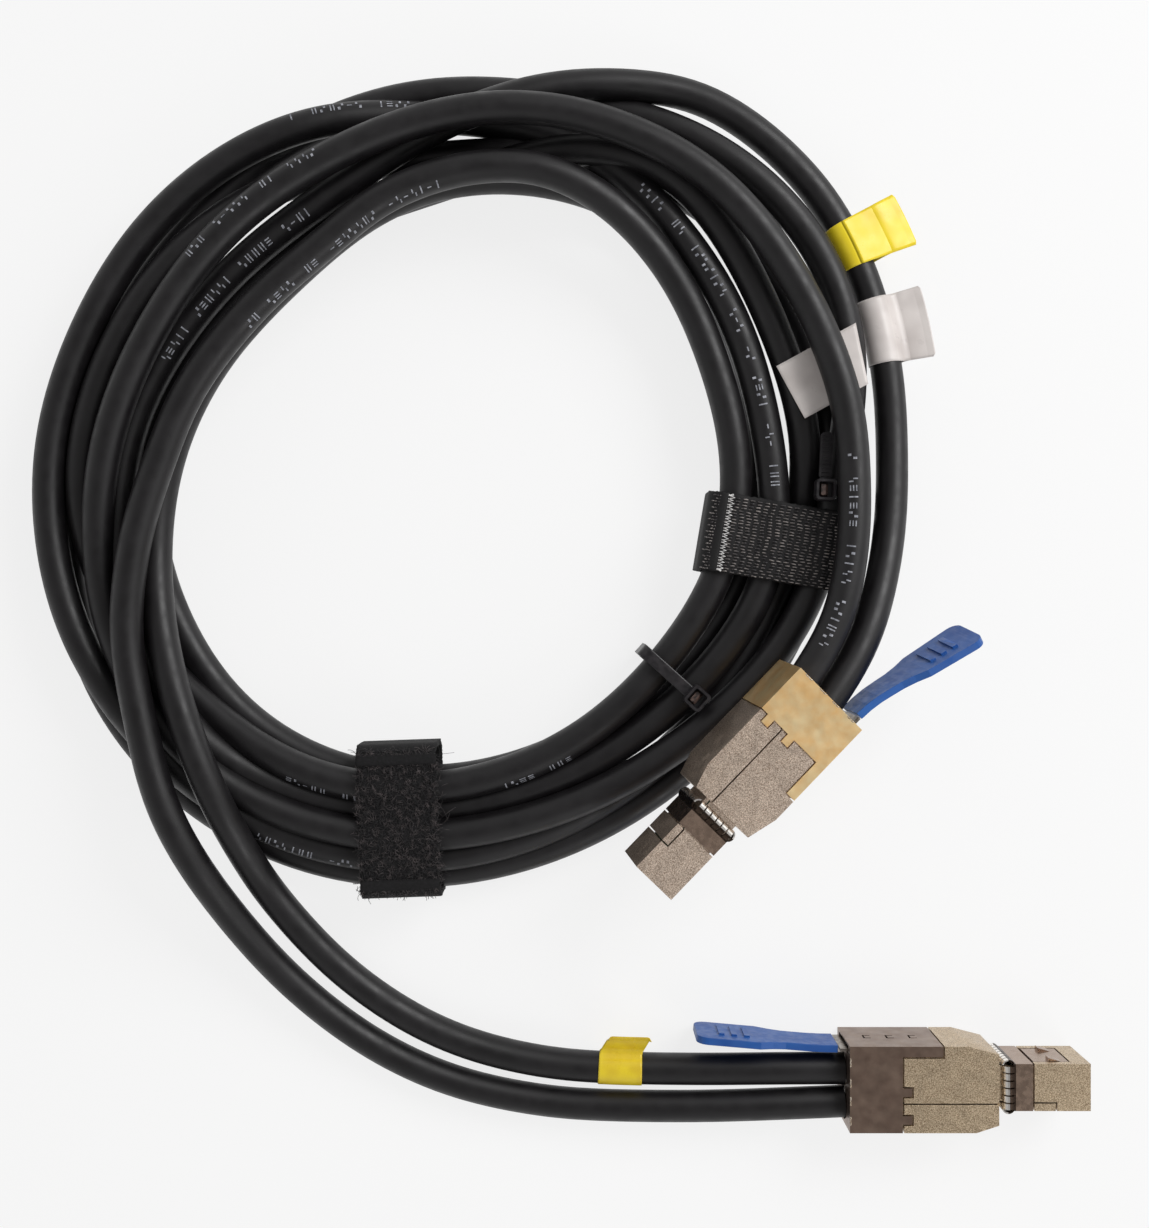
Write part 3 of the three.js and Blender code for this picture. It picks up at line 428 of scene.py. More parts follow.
# Plug castings: two die-cast zinc halves that close round the cable end, plated warm, with a fine
# sparkling skin. Their edges are eased as tumbled castings have them, and the CAD solids stay.
PLUGS = ("upper", "lower")
CASTING_EDGE, SHEET_EDGE, THIN_EDGE, CARD_EDGE, BLOCK_EDGE, TAB_EDGE = 0.16, 0.1, 0.06, 0.04, 0.1, 0.22
WELD_REACH, SHARP_ANGLE, EDGE_SEGMENTS = 0.002, 32, 2
CASTING_TONES = {
    "upper": ((158, 136, 118), (240, 222, 204)),
    "lower": ((146, 124, 98), (226, 206, 176)),
}


def finish(name, made, edge):
    """Gives a CAD node its material, and rounds its edges without touching its mesh."""
    node[name].data.materials.clear()
    node[name].data.materials.append(made)
    weld = node[name].modifiers.new("weld", "WELD")
    weld.merge_threshold = WELD_REACH * MM
    bevel = node[name].modifiers.new("eased_edges", "BEVEL")
    bevel.width = edge * MM
    bevel.segments = EDGE_SEGMENTS
    bevel.limit_method = "ANGLE"
    bevel.angle_limit = math.radians(SHARP_ANGLE)
    bevel.harden_normals = True


for plug in PLUGS:
    casting = surface(plug + "_casting", (165, 145, 125), 0.42, 0.85)
    tones(casting, 0.2, *CASTING_TONES[plug], (0.36, 0.64), 2)
    grain(casting, 0.2, 0.03, detail=2)
    wear(casting, 2, 0.3, 0.42)
    finish(plug + "_plug_top_shell", casting, CASTING_EDGE)
    finish(plug + "_plug_bottom_shell", casting, CASTING_EDGE)


# Rear covers: thin plated sheet folded round the cable end and hooked into the castings by small tabs,
# smoother than they are. Short lips of the same sheet are rolled over the rear edge, pale with a painted
# highlight.
# Each cover's tones hold painted light: the upper cover's golden tone is a painted warm highlight, and the
# lower cover's dark brown is painted shade.
COVER_LIT_AND_SHADED_TONES = {
    "upper": ((250, 204, 138), (255, 228, 176)),
    "lower": ((128, 108, 96), (146, 126, 112)),
}
COVER_METAL = {"upper": 0.7, "lower": 0.95}
PLUG_CORNER = {"upper": Vector((41.1, -9.1, 16.8)), "lower": Vector((55.7, -105, 0))}
PLUG_AXES = {
    "upper": (Vector((-0.6977, -0.71496, 0.04536)), Vector((0.70142, -0.69462, -0.15972)),
              Vector((0.1457, -0.0796, 0.98612))),
    "lower": (Vector((1, 0, 0)), Vector((0, 1, 0)), Vector((0, 0, 1))),
}
LIP_STARTS, LIP_STEP, LIP_POINTS, LIP_RADIUS = (1.6, 5.6, 9.2, 13.4), 0.45, 5, 0.16
LIP_INSET, LIP_CURL, LIP_HEIGHT = 0.12, 0.1, 14.12

# The lips' pale colour is a painted highlight on the rolled edge.
lip_highlight = surface("lips_painted_highlight", (214, 198, 178), 0.24, 1.0)
tones(lip_highlight, 0.6, (176, 156, 132), (236, 226, 210))
grain(lip_highlight, 0.2, 0.006)


def on_plug(plug, ahead, across, up):
    """A point in metres, from its place ahead of a plug's rear, across from its far side and up."""
    axes = PLUG_AXES[plug]
    return (PLUG_CORNER[plug] + FRAME_SHIFT + axes[0] * ahead + axes[1] * across + axes[2] * up) * MM


def threads(name, rows, radius, made):
    """Many fine round threads as one piece."""
    curve = bpy.data.curves.new(name, "CURVE")
    curve.dimensions = "3D"
    curve.bevel_depth = radius * MM
    curve.bevel_resolution = 1
    for row in rows:
        spline = curve.splines.new("POLY")
        spline.points.add(len(row) - 1)
        for target, point in zip(spline.points, row):
            target.co = (*point, 1)
    curve.materials.append(made)
    piece = bpy.data.objects.new(name, curve)
    bpy.context.scene.collection.objects.link(piece)
    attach(piece, "cable")


for plug in PLUGS:
    cover = surface(plug + "_cover", (150, 125, 100), 0.3, COVER_METAL[plug])
    # Painted light: a painted warm highlight on the upper cover, painted shade on the lower one.
    tones(cover, 3, *COVER_LIT_AND_SHADED_TONES[plug], (0.3, 0.7), 3)
    grain(cover, 0.6, 0.0006)
    wear(cover, 2.5, 0.28, 0.38)
    finish(plug + "_plug_rear_cover", cover, SHEET_EDGE)
    lips = [[on_plug(plug, LIP_INSET + LIP_CURL * (k % 2), start + LIP_STEP * k, LIP_HEIGHT)
             for k in range(LIP_POINTS)] for start in LIP_STARTS]
    threads(plug + "_cover_lips", lips, LIP_RADIUS, lip_highlight)


# Finger collars and latches: spring strip, clipped round the neck, with fingers that curl over and touch
# the socket. Bands of colour along them paint a highlight on the curls and shade on the slopes. The latch is
# of the same strip, with the same painted bands.
COLLAR_START, COLLAR_LENGTH = {"upper": 24.08, "lower": 56.55}, 6.15
# Painted light along the collar, as shares of its length: a painted highlight on the curls, painted shade on
# the slopes, then a middle tone.
COLLAR_LIGHT_AND_SHADE = [(0, (250, 246, 240)), (0.2, (70, 58, 50)), (0.43, (164, 142, 126))]


def zones(made, ahead, start, reach, stops):
    """Colours that change along a direction: each stop is a share of the reach and a colour."""
    tree = made.node_tree
    place = tree.nodes.new("ShaderNodeTexCoord")
    along = tree.nodes.new("ShaderNodeVectorMath")
    share = tree.nodes.new("ShaderNodeMapRange")
    ramp = tree.nodes.new("ShaderNodeValToRGB")
    along.operation = "DOT_PRODUCT"
    along.inputs[1].default_value = ahead
    share.inputs["From Min"].default_value = start * MM
    share.inputs["From Max"].default_value = (start + reach) * MM
    ramp.color_ramp.interpolation = "CONSTANT"
    while len(ramp.color_ramp.elements) < len(stops):
        ramp.color_ramp.elements.new(0.5)
    for element, (position, colour) in zip(ramp.color_ramp.elements, stops):
        element.position = position
        element.color = linear(colour)
    tree.links.new(place.outputs["Object"], along.inputs[0])
    tree.links.new(along.outputs["Value"], share.inputs["Value"])
    tree.links.new(share.outputs["Result"], ramp.inputs["Fac"])
    tree.links.new(ramp.outputs["Color"], tree.nodes["Principled BSDF"].inputs["Base Color"])


for plug in PLUGS:
    collar = surface(plug + "_collar", (214, 205, 190), 0.24, 1.0)
    # Painted highlight and painted shade in bands along the plug, on collar and latch alike.
    zones(collar, PLUG_AXES[plug][0], COLLAR_START[plug], COLLAR_LENGTH, COLLAR_LIGHT_AND_SHADE)
    grain(collar, 0.3, 0.002)
    wear(collar, 1.2, 0.2, 0.32)
    finish(plug + "_plug_emi_collar", collar, THIN_EDGE)
    finish(plug + "_plug_latch", collar, THIN_EDGE)


# Pins, pull slides and ferrules: plain turned and stamped steel. The pin holds the latch in the casting,
# the slide runs under the cover, and the ferrules are crimped round the cable ends.
for plug in PLUGS:
    steel = surface(plug + "_steel", (140, 135, 128), 0.3, 1.0)
    tones(steel, 1.0, (120, 112, 104), (168, 162, 154))
    grain(steel, 0.2, 0.006, stretch=(0.2, 1, 1))
    for part in ("latch_pin", "pull_slide", "cable_ferrule_low", "cable_ferrule_high"):
        finish(f"{plug}_plug_{part}", steel, THIN_EDGE)


# Contact cards and wire blocks: two thin circuit boards lie in each nose, and the moulded block behind
# them keeps the wires in their rows.
for plug in PLUGS:
    board = surface(plug + "_board", (38, 92, 62), 0.4)
    tones(board, 2.0, (30, 80, 52), (46, 104, 70))
    grain(board, 0.4, 0.01)
    for part in ("paddle_card_low", "paddle_card_high"):
        finish(f"{plug}_plug_{part}", board, CARD_EDGE)
    block = surface(plug + "_wire_block", (216, 210, 198), 0.55)
    tones(block, 2.0, (206, 200, 188), (224, 219, 208))
    grain(block, 0.5, 0.01)
    finish(plug + "_plug_wire_organizer", block, BLOCK_EDGE)


# Pull tabs: one moulding each in tough blue plastic, hooked on the pull slide, with a wider grip and
# raised ribs on it.
for plug in PLUGS:
    blue = surface(plug + "_pull_tab_blue", (30, 84, 160), 0.42)
    tones(blue, 8, (26, 76, 150), (36, 94, 170), (0.3, 0.7), 2)
    grain(blue, 0.4, 0.006)
    wear(blue, 1.5, 0.36, 0.5)
    finish(plug + "_plug_pull_tab", blue, TAB_EDGE)


# Cable ties: moulded nylon, one round the inner cables and one round the outer ones. A band runs through
# a square head, where a small tongue holds it, and the outer tie's toothed tail is left long.
TIE_BAND, TIE_WIDTH, TIE_CORNER, TIE_CEILING, TIE_CHAMFER = 1.1, 2.5, 1.4, 15.85, 0.3
HEAD_FROM = 14
# Outer and inner walls of the head, from its foot up and down again: width, length, corner, height.
HEAD_LAYERS = [
    (3.9, 4.1, 0.7, 15.4), (4.2, 4.4, 0.8, 15.8), (4.2, 4.4, 0.8, 18.2), (3.9, 4.1, 0.7, 18.6),
    (3.0, 3.2, 0.4, 18.6), (2.8, 3.0, 0.35, 18.35), (2.7, 2.9, 0.35, 16.4),
]
# Layers of the tongue, which leans inwards: inwards, width, length, corner, height.
TONGUE_LAYERS = [(0.2, 1.7, 2.7, 0.2, 16.3), (0.3, 1.5, 2.6, 0.3, 17.3), (0.5, 0.9, 2.2, 0.3, 17.9)]
TAIL_START, TAIL_CORNER, TAIL_HEIGHTS = 2.2, 0.9, (15.4, 16.3)
TOOTH_START, TOOTH_PITCH, TOOTH_REACH, TOOTH_RADIUS, TOOTH_HEIGHT = 2.8, 0.8, 0.8, 0.13, 16.35

nylon = surface("nylon", (34, 32, 35), 0.38)
tones(nylon, 2, (26, 24, 27), (46, 43, 46))
grain(nylon, 0.3, 0.01)
wear(nylon, 1, 0.3, 0.5)
tongue = surface("tie_tongue", (84, 68, 62), 0.45)
tones(tongue, 0.8, (44, 36, 34), (122, 100, 92))
grain(tongue, 0.2, 0.02)


def across_coil(place, direction, offset):
    """A point in metres, from its place outwards, along the coil and above the floor."""
    turned = Matrix.Rotation(math.radians(direction), 3, "Z")
    return (turned @ (Vector(place) + Vector((0, offset, 0))) + COIL_CENTRE + FRAME_SHIFT) * MM


def seen_across(point, direction, offset):
    """The reverse: place outwards, along the coil and above the floor, in millimetres."""
    turned = Matrix.Rotation(math.radians(-direction), 3, "Z")
    return turned @ (Vector(point) / MM - COIL_CENTRE - FRAME_SHIFT) - Vector((0, offset, 0))


def corners_of(name, direction, offset):
    """The corners of a CAD node, seen across the coil."""
    return [seen_across(vertex.co, direction, offset) for vertex in node[name].data.vertices]


def thicken(piece, thickness):
    """Gives a sheet its thickness, half to each side."""
    thick = piece.modifiers.new("thickness", "SOLIDIFY")
    thick.thickness = thickness * MM
    thick.offset = 0


CORNER_STEPS, BAND_SPACING = 8, 0.4


def round_section(low_x, high_x, low_z, high_z, corner):
    """Points round a rectangle with round corners, from the middle of its top."""
    corners = [(high_x - corner, high_z - corner, 90), (high_x - corner, low_z + corner, 0),
               (low_x + corner, low_z + corner, -90), (low_x + corner, high_z - corner, -180)]
    points = [Vector(((low_x + high_x) / 2, high_z))]
    for x, z, first in corners:
        for step in range(CORNER_STEPS + 1):
            angle = math.radians(first - 90 * step / CORNER_STEPS)
            points.append(Vector((x + corner * math.cos(angle), z + corner * math.sin(angle))))
    points.append(points[0])
    fine = []
    for before, after in zip(points, points[1:]):
        steps = max(1, round((after - before).length / BAND_SPACING))
        fine += [before.lerp(after, k / steps) for k in range(steps)]
    return fine


BOX_STEPS = 4


def round_box(x, y, width, length, corner, height):
    """A level ring round a rectangle with round corners."""
    ring = []
    for side_x, side_y, first in ((1, 1, 0), (-1, 1, 90), (-1, -1, 180), (1, -1, 270)):
        for step in range(BOX_STEPS + 1):
            angle = math.radians(first + 90 * step / BOX_STEPS)
            ring.append((x + side_x * (width / 2 - corner) + corner * math.cos(angle),
                         y + side_y * (length / 2 - corner) + corner * math.sin(angle), height))
    return ring


def loft(name, rings, made, place):
    """Closes a stack of rings of equal count into a solid."""
    points = [across_coil(point, *place) for ring in rings for point in ring]
    count = len(rings[0])
    faces = [tuple(range(count))[::-1], tuple(range(len(points) - count, len(points)))]
    for level in range(len(rings) - 1):
        for i in range(count):
            low, next_low = level * count + i, level * count + (i + 1) % count
            faces.append((low, next_low, next_low + count, low + count))
    new_piece(name, points, faces, made, smooth=False)


def tie(name, direction, slot_at, tail):
    """A tie whose head stands over a place outwards on the coil, with a tail of a given length."""
    place = (direction, 0)
    corners = corners_of(name, *place)
    inside = [corner.x for corner in corners if corner.z < HEAD_FROM]
    half = TIE_BAND / 2
    ring = round_section(min(inside) + half, max(inside) - half, min(corner.z for corner in corners) + half,
                         TIE_CEILING, TIE_CORNER)
    edge = TIE_WIDTH / 2
    across = (-edge, -edge + TIE_CHAMFER, edge - TIE_CHAMFER, edge)
    points = [across_coil((spot.x, y, spot.y), *place) for spot in ring for y in across]
    faces = sheet_faces(len(ring), len(across), closed=True)
    thicken(new_piece(name + "_band", points, faces, nylon, (name,)), TIE_BAND)
    loft(name + "_head", [round_box(slot_at, 0, *layer) for layer in HEAD_LAYERS], nylon, place)
    loft(name + "_tongue", [round_box(slot_at - lean, 0, *layer) for lean, *layer in TONGUE_LAYERS], tongue,
         place)
    if tail:
        middle = TAIL_START + tail / 2
        loft(name + "_tail", [round_box(slot_at, middle, TIE_WIDTH, tail, TAIL_CORNER, height)
                              for height in TAIL_HEIGHTS], nylon, place)
        teeth = [[across_coil((slot_at + x, TOOTH_START + TOOTH_PITCH * k, TOOTH_HEIGHT), *place)
                  for x in (-TOOTH_REACH, 0, TOOTH_REACH)] for k in range(int(tail / TOOTH_PITCH))]
        threads(name + "_teeth", teeth, TOOTH_RADIUS, nylon)


tie("cable_tie_inner", -42, 67.5, 0)
tie("cable_tie_outer", -2.6, 76, 9.5)


# Straps: woven hook-and-loop tape, 16 mm wide, wrapped round the whole coil and pressed on itself. It
# lies on each strand and sags a little between them.
STRAP_WIDTH, STRAP_TAPE, STRAP_CEILING, STRAP_CORNER = 16, 1.1, 15.62, 3.4
STRAP_SAG, STRAP_CROWN, RAGGED_EDGE, STRAP_COLUMNS = 0.75, 0.1, 0.13, 28
STRAP_CLEARANCE, TOP_FACE, CROWN_DEPTH = 0.05, 0.02, 1
SAG_SPREAD = (-0.9, -0.45, 0, 0.45, 0.9)
CROSSING_CEILING = 16.5


def crossings(direction, offset):
    """Where the cables under a strap cross its middle: place outwards and height of each."""
    found = []
    for line in (line_a, line_b):
        local = [seen_across(point, direction, offset) for point in line]
        for before, after in zip(local, local[1:]):
            if before.x > 0 and before.y * after.y <= 0 and before.z < CROSSING_CEILING:
                found.append((before.x, before.z))
    return found


def tape_height(x, strands):
    """Height of the tape's middle over the strands at one place."""
    reach = CABLE_DIAMETER / 2 + STRAP_TAPE / 2 + STRAP_CLEARANCE
    crests = [z + math.sqrt(reach**2 - (x - at) ** 2) for at, z in strands if abs(x - at) < reach]
    return max(min(max(crests or [0]), STRAP_CEILING), STRAP_CEILING - STRAP_SAG)


def even_height(x, strands):
    """The same, evened out as the stiff tape does."""
    return sum(tape_height(x + shift, strands) for shift in SAG_SPREAD) / len(SAG_SPREAD)


def strap_top(x, strands):
    """Height of the tape's upper face."""
    return even_height(x, strands) + STRAP_TAPE / 2


def strap(name, direction, offset, made, seed):
    """A closed band of tape. Gives back its reach outwards and the strands under it."""
    chance = random.Random(seed)
    outwards = [corner.x for corner in corners_of(name, direction, offset)]
    inner, outer = min(outwards), max(outwards)
    half = STRAP_TAPE / 2
    ring = round_section(inner + half, outer - half, half + STRAP_CLEARANCE, STRAP_CEILING, STRAP_CORNER)
    strands = crossings(direction, offset)
    for place in ring:
        if place.y > STRAP_CEILING - TOP_FACE:
            place.y = even_height(place.x, strands)
    points = []
    for place in ring:
        for k in range(STRAP_COLUMNS + 1):
            share = 2 * k / STRAP_COLUMNS - 1
            ragged = chance.uniform(-RAGGED_EDGE, RAGGED_EDGE) if k in (0, STRAP_COLUMNS) else 0
            crown = -STRAP_CROWN * share**4 if place.y > STRAP_CEILING - CROWN_DEPTH else 0
            points.append(across_coil(
                (place.x, share * STRAP_WIDTH / 2 + ragged, place.y + crown), direction, offset))
    faces = sheet_faces(len(ring), STRAP_COLUMNS + 1, closed=True)
    thicken(new_piece(name + "_tape", points, faces, made, (name,)), STRAP_TAPE)
    return inner, outer, strands


# Lower strap: its loop side is out, so thousands of fine curled fibres lie on it, some of them over its
# edges and a few long ones loose.
tape = surface("strap_tape", (13, 12, 14), 0.9)
tones(tape, 0.5, (7, 6, 7), (24, 22, 25), (0.4, 0.75))
grain(tape, 0.3, 0.12, detail=5)
fibre = surface("strap_fibre", (46, 43, 46), 0.55)
tones(fibre, 1.2, (22, 20, 22), (92, 84, 84), (0.45, 0.75))
grain(fibre, 0.1, 0.004)

LOWER = (-88, -12.3)
lower_inner, lower_outer, lower_strands = strap("strap_lower", *LOWER, tape, 3)
LOOP_RADIUS, STRAY_RADIUS, FIBRE_STEPS, FIBRE_BED, FIBRE_BEND = 0.045, 0.035, 5, 0.05, 70


def fuzz(count, low_y, high_y, length, lift, seed, trim=1):
    """Loop fibres that lie in curls on the tape, between two places across it."""
    chance = random.Random(seed)
    rows = []
    for _ in range(count):
        x, y = chance.uniform(lower_inner + 1, lower_outer - trim), chance.uniform(low_y, high_y)
        heading, bend = chance.uniform(0, 360), chance.uniform(-FIBRE_BEND, FIBRE_BEND)
        size = chance.uniform(0.5, 1) * length
        top = strap_top(x, lower_strands) - FIBRE_BED
        row = []
        for k in range(FIBRE_STEPS + 1):
            share = k / FIBRE_STEPS
            angle = math.radians(heading + bend * share)
            row.append(across_coil((x, y, top + lift * 4 * share * (1 - share)), *LOWER))
            x += size / FIBRE_STEPS * math.cos(angle)
            y += size / FIBRE_STEPS * math.sin(angle)
        rows.append(row)
    return rows


loops = fuzz(2600, -7.6, 7.6, 1.7, 0.3, 11)
loops += fuzz(160, -8.3, -7.5, 1.5, 0.2, 12) + fuzz(160, 7.5, 8.3, 1.5, 0.2, 13)
threads("strap_loops", loops, LOOP_RADIUS, fibre)
threads("strap_stray_fibres", fuzz(34, 7.2, 8.6, 4.2, 0.6, 14, trim=2), STRAY_RADIUS, fibre)


# Right strap: its hook side is out, moulded in staggered rows, and a double zigzag of white thread sews
# its end down.
hook_tape = surface("hook_tape", (9, 8, 9), 0.75)
tones(hook_tape, 0.4, (5, 4, 5), (15, 13, 15))
grain(hook_tape, 0.35, 0.08)
# The hooks' paler grey, lighter than the tape, is a painted glint on the hooks.
hook = surface("strap_hook_glints", (70, 66, 68), 0.32)
tones(hook, 1.3, (46, 43, 46), (170, 162, 158), (0.4, 0.72))
grain(hook, 0.2, 0.01)
stitch = surface("white_thread", (236, 234, 232), 0.6)
tones(stitch, 0.5, (214, 212, 210), (248, 247, 246))
grain(stitch, 0.15, 0.02, (1, 1, 4))

RIGHT = (-9.5, -2.5)
right_inner, right_outer, right_strands = strap("strap_right", *RIGHT, hook_tape, 4)
HOOK_RADIUS, HOOK_RISE, HOOK_ROWS_FROM, HOOK_ROWS_TO, HOOK_ROW_PITCH = 0.11, 0.28, -7.7, 7.8, 0.62
HOOK_PITCH, FINE_PITCH, FINE_END = 1.5, 0.62, 3.4
INNER_MARGIN, OUTER_MARGIN, HOOK_SHIFT, HOOK_SLOPE = 0.7, 0.6, 0.3, 0.1
HOOK_LENGTHS, FINE_LENGTHS = (0.75, 1.0), (0.3, 0.5)


def hook_rows(seed):
    """Staggered rows of small hooks across the strap, finer by its sewn end."""
    chance = random.Random(seed)
    rows = []
    y, staggered = HOOK_ROWS_FROM, False
    while y < HOOK_ROWS_TO:
        x = right_inner + INNER_MARGIN + (HOOK_PITCH / 2 if staggered else 0)
        x += chance.uniform(-HOOK_SHIFT, HOOK_SHIFT)
        while x < right_outer - OUTER_MARGIN:
            fine = x < right_inner + FINE_END
            size = chance.uniform(*(FINE_LENGTHS if fine else HOOK_LENGTHS))
            height = strap_top(x, right_strands)
            slope = chance.uniform(-HOOK_SLOPE, HOOK_SLOPE)
            rows.append([
                across_coil((x + size * share, y + slope * share,
                             height + HOOK_RISE * share * (1 - share) * 4), *RIGHT)
                for share in (0, 0.3, 0.6, 1)])
            x += FINE_PITCH if fine else HOOK_PITCH
        y += HOOK_ROW_PITCH
        staggered = not staggered
    return rows


# The hook rows carry painted glints.
threads("strap_hook_rows", hook_rows(21), HOOK_RADIUS, hook)

STITCH_AT, STITCH_REPEATS, STITCH_RADIUS, STITCH_LIFT = right_inner + 4.1, 13, 0.2, 0.12
STITCH_WIDE, STITCH_NARROW, SEAM_SHARE = 1.0, 0.7, 0.97


def zigzag(low_x, high_x, phase):
    """One needle's run of stitches along the width of the strap."""
    row = []
    for k in range(2 * STITCH_REPEATS + 1):
        x = low_x if (k + phase) % 2 else high_x
        y = STRAP_WIDTH * SEAM_SHARE * (0.5 - k / (2 * STITCH_REPEATS))
        row.append(across_coil((x, y, strap_top(x, right_strands) + STITCH_LIFT), *RIGHT))
    return row


threads("strap_stitching", [
    zigzag(STITCH_AT - STITCH_WIDE, STITCH_AT + STITCH_NARROW, 0),
    zigzag(STITCH_AT - STITCH_NARROW, STITCH_AT + STITCH_WIDE, 1),
], STITCH_RADIUS, stitch)


# Flags: satin film folded round one cable, with both ends stuck together beside it. Each leaves the
# cable's top at an angle of its own.
FILM, FILM_GAP, FLAG_ROWS = 0.14, 0.14, 24
LAST_ANGLE, ANGLE_STEP, FOLD_SPACING = 331, 10, 0.4
FILM_RADIUS = CABLE_DIAMETER / 2 + FILM_GAP


def film(name, dark, light, fold):
    """Satin film in two tones of one colour, with soft folds of a given depth."""
    made = surface(name, light, 0.32)
    tones(made, 7, dark, light, (0.3, 0.6), 2)
    grain(made, 5, fold, detail=0)
    grain(made, 0.2, 0.003)
    wear(made, 3, 0.26, 0.42)
    return made


yellow_film = film("yellow_film", (233, 203, 22), (252, 226, 44), 0.05)
dull_yellow_film = film("dull_yellow_film", (214, 178, 48), (244, 216, 50), 0.06)
white_film = film("white_film", (206, 198, 194), (226, 219, 215), 0.05)


def flag(name, made, towards, width, leave, pinch, tip, shear=0, corner=0.3):
    """A film round cable_b: it leaves the cable at an angle and runs through the pinch to the tip."""
    low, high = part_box(name)
    middle = (Vector(low) + Vector(high)) / 2
    centre = length_to(line_b, nearest_index(line_b, middle))
    outline = [Vector((tip[0], tip[1] + FILM / 2)), Vector((pinch[0], pinch[1] + FILM / 2))]
    for angle in range(leave, LAST_ANGLE, ANGLE_STEP):
        turned = math.radians(angle)
        outline.append(Vector((FILM_RADIUS * math.cos(turned), FILM_RADIUS * math.sin(turned))))
    outline += [Vector((pinch[0], pinch[1] - FILM / 2)), Vector((tip[0], tip[1] - FILM / 2))]
    outline = smooth_line(outline, FOLD_SPACING)
    points = []
    for row in range(FLAG_ROWS + 1):
        along = (row / FLAG_ROWS - 0.5) * width
        edge = width / 2 - abs(along)
        cut = corner - math.sqrt(max(0, corner**2 - (corner - edge) ** 2)) if edge < corner else 0
        for spot in outline:
            slide = shear * max(0, spot.x - FILM_RADIUS)
            place, ahead, up, aside = cable_frame(line_b, centre + (along + slide) * MM)
            out = aside if aside.dot(Vector(towards)) > 0 else -aside
            points.append(place + (out * min(spot.x, tip[0] - cut) + up * spot.y) * MM)
    faces = sheet_faces(FLAG_ROWS + 1, len(outline))
    thicken(new_piece(name + "_film", points, faces, made, (name,)), FILM)


flag("flag_yellow_lead", yellow_film, towards=(1, 0.3, 0), width=9.6, leave=80,
     pinch=(6.6, 2.18), tip=(12.6, 1.1))
flag("flag_white_lead", white_film, towards=(1, 0.2, 0), width=13.6, leave=40,
     pinch=(4.7, 0.9), tip=(10.1, 1.5), corner=0.5)
flag("flag_yellow_tail", dull_yellow_film, towards=(0, 1, 0), width=9, leave=40,
     pinch=(4.3, 1.6), tip=(7.6, 4.2), shear=0.45, corner=0.9)


# Loose label: a piece of the same white film that lies on the coil under the upper lead, cut aslant
# at its outer end and slightly curled.
LABEL_CENTRE, LABEL_HEADING, LABEL_WIDTH, LABEL_LEFT = (50.2, 48.3), 28.6, 12, -7.6
LABEL_LENGTH, LABEL_SLANT = 16.35, 0.31
LABEL_HEIGHT, LABEL_WAVE, LABEL_CURL = 15.3, 0.22, 0.0035
LABEL_ROWS, LABEL_COLUMNS = 16, 24

label_turn = Matrix.Rotation(math.radians(LABEL_HEADING), 3, "Z")
label_points = []
for row in range(LABEL_ROWS + 1):
    y = (row / LABEL_ROWS - 0.5) * LABEL_WIDTH
    for column in range(LABEL_COLUMNS + 1):
        x = LABEL_LEFT + column / LABEL_COLUMNS * (LABEL_LENGTH + LABEL_SLANT * y)
        lift = LABEL_HEIGHT + LABEL_WAVE * math.sin(x / 3) + LABEL_CURL * y * y
        spot = label_turn @ Vector((x, y, 0)) + Vector((*LABEL_CENTRE, lift))
        label_points.append((spot + FRAME_SHIFT) * MM)
thicken(new_piece("loose_label_film", label_points, sheet_faces(LABEL_ROWS + 1, LABEL_COLUMNS + 1),
                  white_film, ("label_code",)), FILM)


# Lights: one broad soft lamp and a weaker one, both from the right, under a plain sky that is white
# at the horizon and grey overhead, so that the metal has something to reflect.
def lamp(name, size, power, place):
    """A square soft lamp that points at the middle of the floor."""
    data = bpy.data.lights.new(name, "AREA")
    data.size = size
    data.energy = power
    body = bpy.data.objects.new(name, data)
    body.location = place
    body.rotation_euler = (-Vector(place)).to_track_quat("-Z", "Y").to_euler()
    bpy.context.scene.collection.objects.link(body)


lamp("main_softbox", 0.4, 3.4, (0.42, 0.4, 0.5))
lamp("side_softbox", 0.3, 0.8, (0.4, -0.45, 0.42))

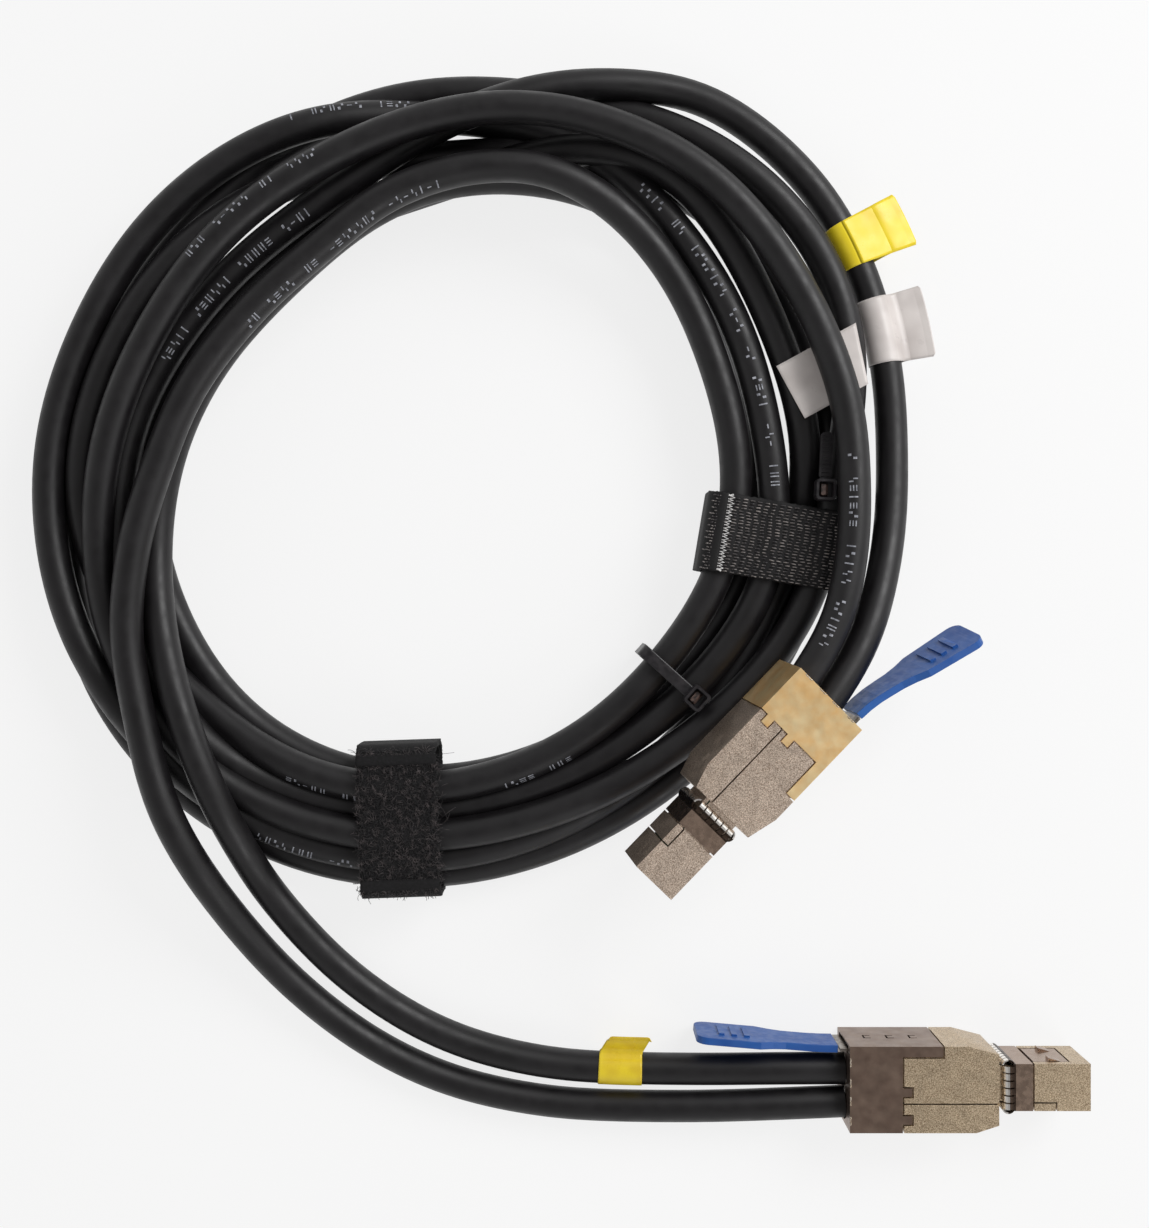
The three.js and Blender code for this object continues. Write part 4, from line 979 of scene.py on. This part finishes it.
SKY_STRENGTH, HORIZON, ZENITH = 0.62, 0.45, 0.95
world = bpy.data.worlds.new("studio")
bpy.context.scene.world = world
world.use_nodes = True
sky = world.node_tree
sky.nodes["Background"].inputs["Strength"].default_value = SKY_STRENGTH
sky_place = sky.nodes.new("ShaderNodeTexCoord")
sky_parts = sky.nodes.new("ShaderNodeSeparateXYZ")
sky_ramp = sky.nodes.new("ShaderNodeValToRGB")
sky_tones = ((HORIZON, (255, 255, 255)), (ZENITH, (164, 162, 162)))
for element, (height, colour) in zip(sky_ramp.color_ramp.elements, sky_tones):
    element.position = height
    element.color = linear(colour)
sky.links.new(sky_place.outputs["Generated"], sky_parts.inputs["Vector"])
sky.links.new(sky_parts.outputs["Z"], sky_ramp.inputs["Fac"])
sky.links.new(sky_ramp.outputs["Color"], sky.nodes["Background"].inputs["Color"])
bpy.context.scene.view_settings.view_transform = "Standard"


# Floor: a plain white sweep that the cable lies on. It glows for the camera and in reflections, so it
# reads as white there and still keeps the shadow.
FLOOR_REACH, FLOOR_GLOW = 3, 0.8
sweep = surface("white_sweep", (235, 235, 235), 0.8)
sweep_tree = sweep.node_tree
rays = sweep_tree.nodes.new("ShaderNodeLightPath")
either = sweep_tree.nodes.new("ShaderNodeMath")
either.operation = "MAXIMUM"
seen = sweep_tree.nodes.new("ShaderNodeMath")
seen.operation = "MULTIPLY"
seen.inputs[1].default_value = FLOOR_GLOW
glow = sweep_tree.nodes.new("ShaderNodeEmission")
blend = sweep_tree.nodes.new("ShaderNodeMixShader")
sweep_tree.links.new(rays.outputs["Is Camera Ray"], either.inputs[0])
sweep_tree.links.new(rays.outputs["Is Glossy Ray"], either.inputs[1])
sweep_tree.links.new(either.outputs[0], seen.inputs[0])
sweep_tree.links.new(seen.outputs[0], blend.inputs["Fac"])
sweep_tree.links.new(sweep_tree.nodes["Principled BSDF"].outputs["BSDF"], blend.inputs[1])
sweep_tree.links.new(glow.outputs["Emission"], blend.inputs[2])
sweep_tree.links.new(blend.outputs["Shader"], sweep_tree.nodes["Material Output"].inputs["Surface"])
floor_corners = [(x * FLOOR_REACH, y * FLOOR_REACH, 0) for x, y in ((-1, -1), (1, -1), (1, 1), (-1, 1))]
floor_mesh = bpy.data.meshes.new("floor")
floor_mesh.from_pydata(floor_corners, [], [(0, 1, 2, 3)])
floor_mesh.materials.append(sweep)
floor = bpy.data.objects.new("floor", floor_mesh)
bpy.context.scene.collection.objects.link(floor)


bpy.context.view_layer.update()
